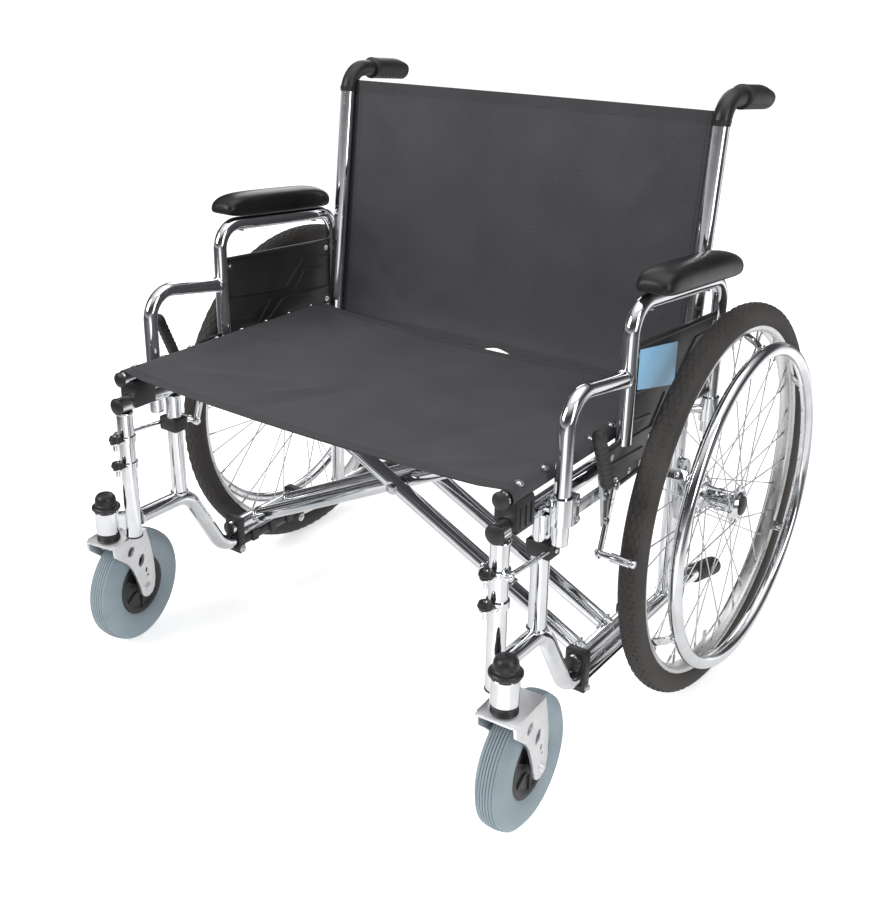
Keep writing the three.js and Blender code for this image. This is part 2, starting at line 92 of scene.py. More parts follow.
def settle(piece, smooth=35):
    pick(piece)
    bpy.ops.object.transform_apply(location=True, rotation=True, scale=True)
    edit()
    bpy.ops.mesh.remove_doubles(threshold=2e-6)
    bpy.ops.mesh.normals_make_consistent(inside=False)
    leave()
    bpy.ops.object.shade_smooth_by_angle(angle=math.radians(smooth))
    return piece


def joined(*parts):
    pick(*parts)
    if len(parts) > 1:
        bpy.ops.object.join()
    return parts[0]


def copied(piece, move=(0, 0, 0), turn=0):
    pick(piece)
    bpy.ops.object.duplicate()
    copy = bpy.context.object
    copy.location = Vector(move) / 1000
    copy.rotation_euler.z = math.radians(turn)
    bpy.ops.object.transform_apply(location=True, rotation=True, scale=True)
    return copy


def mirrored(piece):
    pick(piece)
    bpy.ops.object.duplicate()
    edit()
    bpy.ops.transform.resize(value=(-1, 1, 1), center_override=(0, 0, 0))
    bpy.ops.mesh.flip_normals()
    return leave()


def finish(piece, name, body, material, nodes=(), smooth=35):
    settle(piece, smooth)
    piece.name = name
    piece.data.name = name
    piece.data.materials.clear()
    piece.data.materials.append(material)
    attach(piece, body)
    if nodes:
        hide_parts(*nodes)
    print(name, "rides on", body, "with", len(piece.data.polygons), "faces")
    return piece


def both_sides(piece, name, body, material, nodes=(), smooth=35):
    settle(piece, smooth)
    for made, side in ((piece, "left"), (mirrored(piece), "right")):
        named = [f"{node}_{side}" for node in nodes]
        finish(made, f"{name}_{side}", body.format(side), material, named, smooth)
    return piece


def pick_faces(piece, wanted):
    """Goes into edit mode with only the faces selected whose middle is wanted."""
    pick(piece)
    edit()
    bpy.ops.mesh.select_all(action="DESELECT")
    bpy.ops.object.mode_set(mode="OBJECT")
    for face in piece.data.polygons:
        face.select = wanted(face.center)
    bpy.context.tool_settings.mesh_select_mode = (False, False, True)
    bpy.ops.object.mode_set(mode="EDIT")


def drop_faces():
    """Back out of pick_faces, to where edges and points are selected again."""
    bpy.context.tool_settings.mesh_select_mode = (True, False, False)
    return leave()


def apply_modifier(piece, kind, **settings):
    pick(piece)
    modifier = piece.modifiers.new(kind.title(), kind)
    for setting, value in settings.items():
        setattr(modifier, setting, value)
    bpy.ops.object.modifier_apply(modifier=modifier.name)
    return piece


def bevelled(piece, width, segments=2, angle=40):
    return apply_modifier(
        piece,
        "BEVEL",
        width=width / 1000,
        segments=segments,
        limit_method="ANGLE",
        angle_limit=math.radians(angle),
        use_clamp_overlap=True,
    )


# %% [markdown]
# Bent tube is the chair's main stock. By hand, a tube is a circle that is extruded along each
# straight run and spun round each bend, which keeps the section round all the way.

# %% Tube, turned and flat stock
TUBE = 12.7
SMALL_TUBE = 11.1


def close_ends():
    bpy.ops.mesh.select_all(action="DESELECT")
    bpy.ops.mesh.select_non_manifold()
    bpy.ops.mesh.fill_holes(sides=0)


def push(delta):
    bpy.ops.mesh.extrude_edges_move(TRANSFORM_OT_translate={"value": delta})


def bent_tube(corners, bends, radius, sides=28, step=7, capped=True):
    points = [mm(*corner) for corner in corners]
    facing = (points[1] - points[0]).to_track_quat("Z", "Y").to_euler()
    clear()
    bpy.ops.mesh.primitive_circle_add(
        vertices=sides, radius=radius / 1000, location=points[0], rotation=facing
    )
    edit()
    here = points[0]
    for i, bend in enumerate(bends):
        corner = points[i + 1]
        back = (here - corner).normalized()
        on = (points[i + 2] - corner).normalized()
        half = (math.pi - back.angle(on)) / 2
        run = bend / 1000 * math.tan(half)
        push(corner + back * run - here)
        centre = corner + (back + on).normalized() * bend / 1000 / math.cos(half)
        bpy.ops.mesh.spin(
            steps=max(3, math.ceil(math.degrees(2 * half) / step)),
            angle=2 * half,
            center=centre,
            axis=back.cross(on).normalized(),
        )
        here = corner + on * run
    push(points[-1] - here)
    if capped:
        close_ends()
    return leave()


def tube(start, end, radius, sides=28):
    return bent_tube([start, end], [], radius, sides)


def start_point(place):
    clear()
    bpy.ops.mesh.primitive_plane_add(size=0.001, location=place)
    edit()
    bpy.ops.mesh.merge(type="CENTER")


def draw_line(places):
    start_point(places[0])
    for before, after in zip(places, places[1:]):
        bpy.ops.mesh.extrude_vertices_move(TRANSFORM_OT_translate={"value": after - before})


def turned(profile, centre=(0, 0, 0), axis=(1, 0, 0), steps=48, whole=True):
    """Spins (radius, height) points round the axis; whole joins the last to the first."""
    along = Vector(axis).normalized()
    out = along.orthogonal().normalized()
    ring = [*profile, profile[0]] if whole else profile
    draw_line([mm(*centre) + (out * r + along * h) / 1000 for r, h in ring])
    bpy.ops.mesh.select_all(action="SELECT")
    bpy.ops.mesh.remove_doubles(threshold=1e-6)
    bpy.ops.mesh.spin(steps=steps, angle=math.tau, center=mm(*centre), axis=along)
    bpy.ops.mesh.select_all(action="SELECT")
    bpy.ops.mesh.remove_doubles(threshold=2e-6)
    return leave()


def prism(outline, thickness, bevel=0.6, segments=2):
    """Fills an outline of (x, y, z) corners and extrudes it by the thickness vector."""
    draw_line([mm(*corner) for corner in outline])
    bpy.ops.mesh.select_all(action="SELECT")
    bpy.ops.mesh.edge_face_add()
    bpy.ops.mesh.extrude_region_move(TRANSFORM_OT_translate={"value": mm(*thickness)})
    bpy.ops.mesh.select_all(action="SELECT")
    bpy.ops.mesh.normals_make_consistent(inside=False)
    piece = leave()
    return bevelled(piece, bevel, segments) if bevel else piece


def side_plate(outline, x0, x1, bevel=0.6, segments=2):
    return prism([(x0, y, z) for y, z in outline], (x1 - x0, 0, 0), bevel, segments)


def block(x0, x1, y0, y1, z0, z1, bevel=1.5, segments=3):
    outline = [(x0, y0, z0), (x1, y0, z0), (x1, y1, z0), (x0, y1, z0)]
    return prism(outline, (0, 0, z1 - z0), bevel, segments)


def cut(piece, *tools):
    for tool in tools:
        apply_modifier(piece, "BOOLEAN", operation="DIFFERENCE", object=tool, solver="EXACT")
        bpy.data.objects.remove(tool)
    return piece


def arc(centre, radius, start, end, steps):
    """Points on an arc in degrees, as a list of pairs."""
    turns = [math.radians(start + (end - start) * k / steps) for k in range(steps + 1)]
    return [(centre[0] + radius * math.cos(t), centre[1] + radius * math.sin(t)) for t in turns]


def ring_of(piece, count, centre, axis=(1, 0, 0)):
    """Repeats a piece round an axis, in its own mesh."""
    pick(piece)
    edit()
    bpy.ops.mesh.spin(
        dupli=True,
        steps=count - 1,
        angle=math.tau * (count - 1) / count,
        center=mm(*centre),
        axis=axis,
    )
    leave()
    return piece


def dome_bolt(place, axis, radius=4.5, height=3):
    """A round-headed bolt with a washer under it, standing on a surface."""
    profile = [(0, height), (radius * 0.5, height * 0.93), (radius * 0.86, height * 0.62)]
    profile += [
        (radius, height * 0.2), (radius, 0.9), (radius * 1.45, 0.9), (radius * 1.45, 0), (0, 0),
    ]
    return turned(profile, place, axis, 20, whole=False)


def hex_bolt(place, axis, radius=6, height=5):
    """A hexagon head with rounded corners on a washer."""
    along = Vector(axis).normalized()
    clear()
    bpy.ops.mesh.primitive_cylinder_add(
        vertices=6,
        radius=radius / 1000,
        depth=height / 1000,
        location=mm(*place) + along * (height / 2 + 1) / 1000,
        rotation=along.to_track_quat("Z", "Y").to_euler(),
    )
    head = bevelled(bpy.context.object, 0.6)
    washer = turned(
        [(0, 1), (radius * 1.3, 1), (radius * 1.3, 0), (0, 0)], place, axis, 24, whole=False,
    )
    return joined(head, washer)


def weld(place, axis, radius, bead=1.6):
    """The small rippled bead where one tube is welded on to another."""
    clear()
    bpy.ops.mesh.primitive_torus_add(
        major_radius=radius / 1000,
        minor_radius=bead / 1000,
        major_segments=40,
        minor_segments=8,
        location=mm(*place),
        rotation=Vector(axis).to_track_quat("Z", "Y").to_euler(),
    )
    edit()
    bpy.ops.transform.vertex_random(offset=0.0004, seed=3)
    return leave()

# %% [markdown]
# Each finish is a small node tree on the Principled shader. Hard pieces take their grain from Object
# coordinates, which stay with the piece. Cloth takes its weave from its own UV map, because the weave has
# to follow the sheet when it bends. Values that are the same all over are set on the shader itself.

# %% Node helpers
def finish_of(name, colour, roughness, metallic=0.0, **sockets):
    material = bpy.data.materials.new(name)
    material.use_nodes = True
    shader = material.node_tree.nodes["Principled BSDF"]
    shader.inputs["Base Color"].default_value = (*colour, 1)
    shader.inputs["Roughness"].default_value = roughness
    shader.inputs["Metallic"].default_value = metallic
    for socket, value in sockets.items():
        shader.inputs[socket.replace("_", " ")].default_value = value
    return material


def node(material, kind, source=None, **values):
    """Adds a node, sets its inputs by name, and feeds its first vector from source."""
    made = material.node_tree.nodes.new(f"ShaderNode{kind}")
    for key, value in values.items():
        label = key.replace("_", " ")
        if label in made.inputs:
            made.inputs[label].default_value = value
        else:
            setattr(made, key, value)
    if source is not None:
        wire(material, source, made.inputs["Vector"])
    return made


def wire(material, start, end):
    material.node_tree.links.new(start, end)


def coordinates(material, kind="Object", scale=(1, 1, 1)):
    place = node(material, "TexCoord")
    mapping = node(material, "Mapping", place.outputs[kind], Scale=scale)
    return mapping.outputs["Vector"]


def spread(material, value, low, high, start=0.35, end=0.65):
    """Turns a 0 to 1 pattern into a range of numbers."""
    ranged = node(material, "MapRange")
    wire(material, value, ranged.inputs["Value"])
    for label, number in (
        ("From Min", start), ("From Max", end), ("To Min", low), ("To Max", high),
    ):
        ranged.inputs[label].default_value = number
    return ranged.outputs["Result"]


def blend_colours(material, value, dark, light, start=0.35, end=0.65):
    ramp = node(material, "ValToRGB")
    ramp.color_ramp.elements[0].position = start
    ramp.color_ramp.elements[0].color = (*dark, 1)
    ramp.color_ramp.elements[1].position = end
    ramp.color_ramp.elements[1].color = (*light, 1)
    wire(material, value, ramp.inputs["Fac"])
    return ramp.outputs["Color"]


def shader_of(material):
    return material.node_tree.nodes["Principled BSDF"]


def roughen(material, value, low, high):
    wire(material, spread(material, value, low, high), shader_of(material).inputs["Roughness"])


def bump(material, value, strength, depth, under=None):
    made = node(material, "Bump", Strength=strength, Distance=depth)
    wire(material, value, made.inputs["Height"])
    if under is not None:
        wire(material, under, made.inputs["Normal"])
    wire(material, made.outputs["Normal"], shader_of(material).inputs["Normal"])
    return made.outputs["Normal"]


# %% [markdown]
# Chrome is almost a mirror: what it shows is the room. A little haze that varies along the tube and
# a very shallow waviness from polishing keep it from looking like glass. Bare steel and cast alloy are
# the same idea with more haze.

# %% Metal finishes
def metal(name, colour, haze, wave_scale, wave_depth, streak=(1, 1, 1)):
    material = finish_of(name, colour, haze[0], 1.0)
    place = coordinates(material, scale=streak)
    cloud = node(material, "TexNoise", place, Scale=38.0, Detail=4.0)
    roughen(material, cloud.outputs["Fac"], *haze)
    tint = tuple(c * 0.9 for c in colour)
    worn = blend_colours(material, cloud.outputs["Fac"], tint, colour)
    wire(material, worn, shader_of(material).inputs["Base Color"])
    fine = node(material, "TexNoise", place, Scale=wave_scale, Detail=2.0)
    bump(material, fine.outputs["Fac"], 0.25, wave_depth)
    return material


chrome = metal("chrome_plate", (0.80, 0.81, 0.83), (0.035, 0.10), 60.0, 0.00012)
zinc_steel = metal("zinc_steel", (0.62, 0.63, 0.65), (0.18, 0.34), 420.0, 0.00012)
satin_alloy = metal("satin_alloy", (0.72, 0.715, 0.70), (0.24, 0.36), 260.0, 0.00010, (4, 1, 1))
fork_steel = metal("fork_steel", (0.86, 0.86, 0.87), (0.40, 0.52), 300.0, 0.00008)
spoke_steel = metal("spoke_steel", (0.66, 0.67, 0.68), (0.14, 0.24), 300.0, 0.00006)

# %% [markdown]
# The dark parts differ in gloss and grain: moulded plastic has a fine pebble, foam vinyl a soft
# leather-like grain under a shine, and rubber is dull with a dusty bloom on it.

# %% Dark finishes and the grey tyre
def grained(name, colour, light, gloss, grain_scale, grain_depth, **sockets):
    material = finish_of(name, colour, gloss[0], 0.0, **sockets)
    place = coordinates(material)
    cloud = node(material, "TexNoise", place, Scale=14.0, Detail=6.0)
    shade = blend_colours(material, cloud.outputs["Fac"], colour, light)
    wire(material, shade, shader_of(material).inputs["Base Color"])
    roughen(material, cloud.outputs["Fac"], *gloss)
    pebble = node(material, "TexVoronoi", place, Scale=grain_scale)
    bump(material, pebble.outputs["Distance"], 0.35, grain_depth)
    return material


black_plastic = grained(
    "moulded_black", (0.011, 0.011, 0.012), (0.019, 0.019, 0.020), (0.36, 0.48), 900.0, 0.0001,
)
glossy_vinyl = grained(
    "pad_vinyl", (0.008, 0.008, 0.009), (0.014, 0.014, 0.015), (
        0.27, 0.38,
    ), 700.0, 0.00012, Specular_IOR_Level=0.32
)
grip_rubber = grained(
    "grip_rubber", (0.012, 0.012, 0.012), (0.022, 0.021, 0.020), (0.42, 0.56), 800.0, 0.00015,
)
tyre_rubber = grained(
    "tyre_rubber", (0.030, 0.026, 0.024), (0.048, 0.043, 0.040), (0.66, 0.82), 600.0, 0.0002,
)
caster_rubber = grained(
    "caster_rubber", (0.200, 0.250, 0.285), (0.245, 0.300, 0.335), (0.52, 0.66), 500.0, 0.0001,
)
label_blue = grained(
    "label_blue", (0.200, 0.400, 0.590), (0.240, 0.450, 0.640), (0.38, 0.48), 400.0, 0.00003,
)

# %% [markdown]
# The upholstery is a heavy woven nylon. Two crossed waves on the UV map give the over-and-under of
# the threads, a slow cloud gives wear and dust, and a little sheen lifts the edges that turn away.

# %% Woven nylon
def woven(name, dark, light, pitch):
    material = finish_of(
        name, dark, 0.8, 0.0, Sheen_Weight=0.06, Sheen_Roughness=0.5, Specular_IOR_Level=0.25,
    )
    place = coordinates(material, "UV")
    waves = []
    for direction in ("X", "Y"):
        thread = node(material, "TexWave", place, Scale=0.314 / pitch, Distortion=0.15)
        thread.bands_direction = direction
        waves.append(thread.outputs["Fac"])
    crossed = node(material, "Math", operation="MULTIPLY")
    wire(material, waves[0], crossed.inputs[0])
    wire(material, waves[1], crossed.inputs[1])
    slub = node(material, "TexNoise", place, Scale=520.0, Detail=3.0)
    cloud = node(material, "TexNoise", place, Scale=9.0, Detail=7.0)
    mixed = node(material, "Math", operation="MULTIPLY_ADD")
    wire(material, cloud.outputs["Fac"], mixed.inputs[0])
    mixed.inputs[1].default_value = 0.6
    wire(material, slub.outputs["Fac"], mixed.inputs[2])
    shade = blend_colours(material, mixed.outputs["Value"], dark, light, 0.55, 1.05)
    wire(material, shade, shader_of(material).inputs["Base Color"])
    roughen(material, cloud.outputs["Fac"], 0.72, 0.88)
    weave = bump(material, crossed.outputs["Value"], 0.5, 0.0004)
    bump(material, slub.outputs["Fac"], 0.3, 0.0003, weave)
    return material


nylon = woven("woven_nylon", (0.042, 0.041, 0.046), (0.072, 0.071, 0.078), 0.0011)
hem_nylon = woven("hem_nylon", (0.036, 0.036, 0.040), (0.062, 0.062, 0.067), 0.0011)
strip_nylon = woven("strip_nylon", (0.020, 0.020, 0.022), (0.036, 0.036, 0.039), 0.0011)
print("nylon:", nylon.name, hem_nylon.name, strip_nylon.name)

# %% [markdown]
# The stage is a pale lit floor, soft lights all round, and a camera at a sitting person's eye height,
# in front of the chair's left corner. Chrome needs something dark to show, or it turns white. So
# reflections, and only they, see dark cards round the set: sectors of the floor and a band of the sky.

# %% Floor, light and camera
CARD_STOPS = (
    (0.00, 0.20), (0.06, 0.06), (0.16, 0.05), (0.22, 0.10), (0.29, 0.16), (0.325, 0.90),
    (0.375, 0.90),
    (0.41, 0.14), (0.50, 0.05), (0.60, 0.07), (0.64, 0.80), (0.68, 0.80), (0.72, 0.10),
    (0.84, 0.06), (0.90, 0.60), (0.95, 0.45),
)
NEAR_STOPS = ((0.05, 0.0), (0.35, 0.62))
SKY_STOPS = (
    (0.0, 0.55), (0.49, 0.62), (0.53, 0.30), (0.60, 0.07), (0.74, 0.06), (0.82, 0.30), (0.90, 0.85),
)


def grey_ramp(tree, value, stops):
    ramp = tree.nodes.new("ShaderNodeValToRGB")
    while len(ramp.color_ramp.elements) < len(stops):
        ramp.color_ramp.elements.new(0.5)
    for element, (position, grey) in zip(ramp.color_ramp.elements, stops):
        element.position = position
        element.color = (grey, grey, min(1, grey * 1.02), 1)
    tree.links.new(value, ramp.inputs["Fac"])
    return ramp.outputs["Color"]


def backdrop():
    clear()
    bpy.ops.mesh.primitive_plane_add(size=60, location=(0, 0, -0.0005))
    floor = bpy.context.object
    floor.name = "studio_floor"
    paper = finish_of(
        "studio_paper", (0.9, 0.9, 0.9), 0.9, Emission_Color=(1, 1, 1, 1), Specular_IOR_Level=0.1,
    )
    tree = paper.node_tree
    shader = shader_of(paper)
    sectors = node(paper, "TexGradient", coordinates(paper), gradient_type="RADIAL")
    cards = grey_ramp(tree, sectors.outputs["Fac"], CARD_STOPS)
    ball = node(
        paper, "TexGradient", coordinates(paper, scale=(0.6, 0.6, 0.6)), gradient_type="SPHERICAL",
    )
    lit = node(paper, "Mix", data_type="RGBA")
    wire(paper, grey_ramp(tree, ball.outputs["Fac"], NEAR_STOPS), lit.inputs["Factor"])
    wire(paper, cards, lit.inputs[6])
    lit.inputs[7].default_value = (0.9, 0.9, 0.9, 1)
    path = node(paper, "LightPath")
    shown = node(paper, "Mix", data_type="RGBA")
    wire(paper, path.outputs["Is Glossy Ray"], shown.inputs["Factor"])
    shown.inputs[6].default_value = (0.9, 0.9, 0.9, 1)
    wire(paper, lit.outputs[2], shown.inputs[7])
    wire(paper, shown.outputs[2], shader.inputs["Base Color"])
    wire(paper, shown.outputs[2], shader.inputs["Emission Color"])
    shader.inputs["Emission Strength"].default_value = 0.62
    floor.data.materials.append(paper)


def softbox(name, place, size, watts, aim):
    clear()
    bpy.ops.object.light_add(type="AREA", location=place)
    lamp = bpy.context.object
    lamp.name = name
    lamp.data.shape = "RECTANGLE"
    lamp.data.size, lamp.data.size_y = size
    lamp.data.energy = watts
    lamp.rotation_euler = (Vector(aim) - Vector(place)).to_track_quat("-Z", "Y").to_euler()


def studio_sky():
    world = bpy.data.worlds.new("studio_sky")
    bpy.context.scene.world = world
    world.use_nodes = True
    tree = world.node_tree
    mirror_sky = tree.nodes["Background"]
    place = tree.nodes.new("ShaderNodeTexCoord")
    split = tree.nodes.new("ShaderNodeSeparateXYZ")
    tree.links.new(place.outputs["Generated"], split.inputs["Vector"])
    lifted = tree.nodes.new("ShaderNodeMapRange")
    lifted.inputs["From Min"].default_value = -1
    tree.links.new(split.outputs["Z"], lifted.inputs["Value"])
    tree.links.new(grey_ramp(tree, lifted.outputs["Result"], SKY_STOPS), mirror_sky.inputs["Color"])
    white, soft = (tree.nodes.new("ShaderNodeBackground") for _ in range(2))
    white.inputs["Color"].default_value = soft.inputs["Color"].default_value = (1, 1, 1, 1)
    white.inputs["Strength"].default_value = 1.1
    soft.inputs["Strength"].default_value = 0.55
    path = tree.nodes.new("ShaderNodeLightPath")
    mirrored_or_soft = tree.nodes.new("ShaderNodeMixShader")
    tree.links.new(path.outputs["Is Glossy Ray"], mirrored_or_soft.inputs["Fac"])
    tree.links.new(soft.outputs["Background"], mirrored_or_soft.inputs[1])
    tree.links.new(mirror_sky.outputs["Background"], mirrored_or_soft.inputs[2])
    seen = tree.nodes.new("ShaderNodeMixShader")
    tree.links.new(path.outputs["Is Camera Ray"], seen.inputs["Fac"])
    tree.links.new(mirrored_or_soft.outputs["Shader"], seen.inputs[1])
    tree.links.new(white.outputs["Background"], seen.inputs[2])
    tree.links.new(seen.outputs["Shader"], tree.nodes["World Output"].inputs["Surface"])


backdrop()
# name, place, size, watts, what it points at
SOFTBOXES = (
    ("key_light", (-1.6, -2.6, 2.2), (1.8, 1.8), 62, (0, 0, 0.45)),
    ("top_light", (0.4, 0.2, 3.2), (2.6, 2.6), 26, (0, 0, 0)),
    ("side_light", (3.0, -0.6, 1.6), (1.0, 2.4), 30, (0, 0, 0.45)),
    ("back_light", (-1.8, 2.6, 2.0), (1.6, 2.0), 24, (0, 0, 0.45)),
)
for lamp in SOFTBOXES:
    softbox(*lamp)
studio_sky()

CAMERA_AT = (1.0293, -1.4749, 1.1021)
CAMERA_TILT, CAMERA_TURN = 68.64, 37.73
clear()
bpy.ops.object.camera_add(location=CAMERA_AT)
camera = bpy.context.object
camera.name = "front_left_camera"
camera.rotation_euler = (math.radians(CAMERA_TILT), 0, math.radians(CAMERA_TURN))
camera.data.lens = 47.02
camera.data.shift_x, camera.data.shift_y = 0.057, -0.056
bpy.context.scene.camera = camera
bpy.context.scene.view_settings.view_transform = "Standard"
print("camera stands", round(camera.location.length, 2), "m from the chair's middle")

# %% [markdown]
# ## The side frames
# Each side is a welded frame of one-inch tube: a back post that leans and turns into the push handle,
# an upper rail, two front posts and a lower rail with a drop in it that ends in the tipping lever.
# The left side is drawn, and the right side is its mirror image.

# %% Frame tubes
FRAME_X = 345
UPPER_Z = 432
LOWER_Z = 106
SEAT_Z = 473
FRONT_POST_Y = -368
MID_POST_Y = -267
BACK_POST_Y = 141
LEAN_FROM_Z = 450
CANE_TOP = (190.2, 892)
LEVER_END = (345, 73)
ARM_X = 376
ARM_FRONT_Y = -275
ARM_REAR_Y = 171

back_post_line = [
    (FRAME_X, BACK_POST_Y, 118), (FRAME_X, BACK_POST_Y, LEAN_FROM_Z), (FRAME_X, *CANE_TOP),
    (FRAME_X, 329, 882.3),
]
back_post = bent_tube(back_post_line, [200, 40], TUBE)
foot_weld = weld((FRAME_X, BACK_POST_Y, 119.5), (0, 0, 1), TUBE + 0.4)
rear_socket = turned(
    [(11.8, -18), (15, -18), (15, 20), (11.8, 20)], (ARM_X, ARM_REAR_Y, UPPER_Z), (0, 0, 1), 28,
)
rear_neck = tube((FRAME_X, BACK_POST_Y, UPPER_Z), (368, 163, UPPER_Z), 7, 16)
both_sides(
    joined(back_post, foot_weld, rear_socket, rear_neck),
    "back_post", "{}_frame", chrome, ["back_cane"],
)

upper_rail = tube((FRAME_X, -381, UPPER_Z), (FRAME_X, 128.5, UPPER_Z), TUBE)
rail_weld = weld((FRAME_X, 128.6, UPPER_Z), (0, 1, 0), TUBE + 0.4)
front_socket = turned(
    [(11.8, -18), (15, -18), (15, 20), (11.8, 20)], (ARM_X, ARM_FRONT_Y, UPPER_Z), (0, 0, 1), 28,
)
front_neck = tube((FRAME_X, ARM_FRONT_Y, UPPER_Z), (362, ARM_FRONT_Y, UPPER_Z), 7, 16)
both_sides(
    joined(upper_rail, rail_weld, front_socket, front_neck),
    "upper_rail_tube", "{}_frame", chrome, ["upper_rail"],
)

front_post = tube((FRAME_X, FRONT_POST_Y, 206), (FRAME_X, FRONT_POST_Y, 420), TUBE)
post_weld = weld((FRAME_X, FRONT_POST_Y, 419), (0, 0, 1), TUBE + 0.3)
both_sides(
    joined(front_post, post_weld), "front_post_tube", "{}_frame", chrome, ["front_post"],
)

mid_post = tube((FRAME_X, MID_POST_Y, 243), (FRAME_X, MID_POST_Y, 420), TUBE)
top_weld = weld((FRAME_X, MID_POST_Y, 419), (0, 0, 1), TUBE + 0.3)
low_weld = weld((FRAME_X, MID_POST_Y, 247), (0, 0, 1), TUBE + 0.8)
both_sides(
    joined(mid_post, top_weld, low_weld), "middle_post_tube", "{}_frame", chrome,
    ["mid_post"],
)

lower_line = [
    (FRAME_X, -356, 235), (FRAME_X, -251, 235), (FRAME_X, -177, LOWER_Z), (FRAME_X, 212, LOWER_Z),
    (FRAME_X, *LEVER_END),
]
lower_rail = bent_tube(lower_line, [45, 45, 80], TUBE)
nose_weld = weld((FRAME_X, -355, 235), (0, 1, 0), TUBE + 0.4)
both_sides(
    joined(lower_rail, nose_weld), "lower_rail_tube", "{}_frame", chrome, ["lower_rail"],
)

# %% [markdown]
# Open tube ends wear pressed-in plastic plugs: a collar that the tube's edge sits against, and a
# slightly domed face. One shape serves every size.

# %% End plugs and the tipping lever's boot
def end_plug(place, axis, radius, rise=4):
    profile = [(0, rise + 0.6), (radius * 0.45, rise + 0.4), (radius * 0.8, rise - 0.6)]
    profile += [(radius + 0.4, rise * 0.45), (radius + 0.9, 0.6), (radius + 0.9, -1.4), (0, -1.4)]
    return turned(profile, place, axis, 32, whole=False)


plugs = joined(
    end_plug((FRAME_X, -381, UPPER_Z), (0, -1, 0), TUBE),
    end_plug((FRAME_X, FRONT_POST_Y, 206), (0, 0, -1), TUBE, 2.5),
)
both_sides(plugs, "rail_plugs", "{}_frame", black_plastic, smooth=30)

boot_axis = Vector((0, LEVER_END[0] - 212, LEVER_END[1] - LOWER_Z)).normalized()
boot_rings = [(13.2, -92), (15.2, -90)]
for rib in range(7):
    boot_rings += [
        (15.2, -88 + rib * 12), (16.2, -85 + rib * 12), (16.2, -80 + rib * 12),
        (15.2, -77 + rib * 12),
    ]
boot_rings += [(15.6, -2), (13.0, 2), (0, 3.2)]
boot = turned([*boot_rings, (0, -92)], (FRAME_X, *LEVER_END), boot_axis, 32, whole=False)
both_sides(boot, "tipping_boot", "{}_frame", grip_rubber, smooth=50)

# %% [markdown]
# The push handle has two rubber parts: a smooth sleeve over the bend, and a thick grip with a flange at
# its front. The grip is turned with ridges all the way round. Then its vertices are moved: the ridges are
# ironed out on top, so they stay only under the fingers, and the top of the nose is rounded down.

# %% Push-handle grips
GRIP_LENGTH = 92
GRIP_R = 18.3
GRIP_DROOP = 0.026
HANDLE_END = (341, 881.5)
grip_end = Vector((FRAME_X, *HANDLE_END))
grip_run = Vector((0, HANDLE_END[0] - CANE_TOP[0], HANDLE_END[1] - CANE_TOP[1])).normalized()
grip_up = Vector((1, 0, 0)).cross(grip_run)


def grip_profile():
    rings = [(0, 0), (13.1, 0), (17.2, 0), (GRIP_R + 0.2, 1.2), (GRIP_R + 0.2, 5), (16.4, 7)]
    for rib in range(7):
        start = 10 + rib * 10.2
        rings += [(16.2, start), (17.9, start + 2.4), (GRIP_R, start + 5), (17.9, start + 7.6)]
    return [
        *rings, (17.2, 80.5), (GRIP_R, 83), (GRIP_R, 90.2), (16.8, GRIP_LENGTH), (0, GRIP_LENGTH),
    ]


def shape_grip(grip, start):
    """Irons the ridges out above, and rounds the top of the nose down."""
    for vertex in grip.data.vertices:
        off = vertex.co * 1000 - start
        along = off.dot(grip_run)
        across = off - grip_run * along
        radius = across.length
        above = across.dot(grip_up) / radius if radius > 1 else 0
        if 8 < along < 90 and radius > 15 and above > -0.5:
            across *= (17.4 + 0.6 * min(1, above + 0.5)) / radius
        nose = max(0, (along - 62) / 30)
        drop = 6.0 * nose**2 * max(0, above) * min(1, radius / 15) + GRIP_DROOP * along
        vertex.co = (start + grip_run * along + across - grip_up * drop) / 1000
    grip.data.update()


grip_start = grip_end - grip_run * GRIP_LENGTH
grip = turned(grip_profile(), tuple(grip_start), grip_run, 40, whole=False)
shape_grip(grip, grip_start)
both_sides(grip, "push_grip", "{}_frame", grip_rubber, ["hand_grip"], smooth=50)

sleeve_line = [(FRAME_X, 186.8, 861.5), (FRAME_X, *CANE_TOP), (FRAME_X, 250, 887.8)]
sleeve = bent_tube(sleeve_line, [40], TUBE + 1.0, capped=False)
sleeve = apply_modifier(sleeve, "SOLIDIFY", thickness=0.0008, offset=-1)
both_sides(sleeve, "handle_sleeve", "{}_frame", black_plastic)

# %% [markdown]
# The seat rails rest in moulded saddles that clip over the upper rails. In section a saddle is a block
# with a round bite out of its foot and another out of its top, so it is drawn as that outline.

# %% Seat-rail saddles
def saddle(y):
    foot = arc((FRAME_X, UPPER_Z), 13.1, 38, 142, 14)
    cradle = arc((FRAME_X, SEAT_Z), 11.5, 200, 340, 16)
    outline = [(FRAME_X + 17, 427), (FRAME_X + 12.3, 426)] + foot + [
        (FRAME_X - 12.3, 426), (FRAME_X - 17, 427),
    ]
    outline += [(FRAME_X - 17, 462), (FRAME_X - 14.5, 469)] + cradle + [
        (FRAME_X + 14.5, 469), (FRAME_X + 17, 462),
    ]
    body = prism([(x, y - 20, z) for x, z in outline], (0, 40, 0), 0.5)
    ribs = [block(361.5, 363.6, y + k, y + k + 3, 432, 460, 0.6) for k in (-14, -1.5, 11)]
    return joined(body, *ribs)


both_sides(
    saddle(-337), "saddle_block_front", "{}_frame", black_plastic,
    ["seat_saddle_front"],
)
both_sides(
    saddle(40), "saddle_block_rear", "{}_frame", black_plastic,
    ["seat_saddle_rear"],
)

# %% [markdown]
# The rear axle runs in a steel plate bolted to the back post. Two clamp bolts and the big axle nut
# are what shows from behind. The plate has round ends, each with a spare hole for another seat height.

# %% Axle plate
AXLE_Y = 135
AXLE_Z = 305


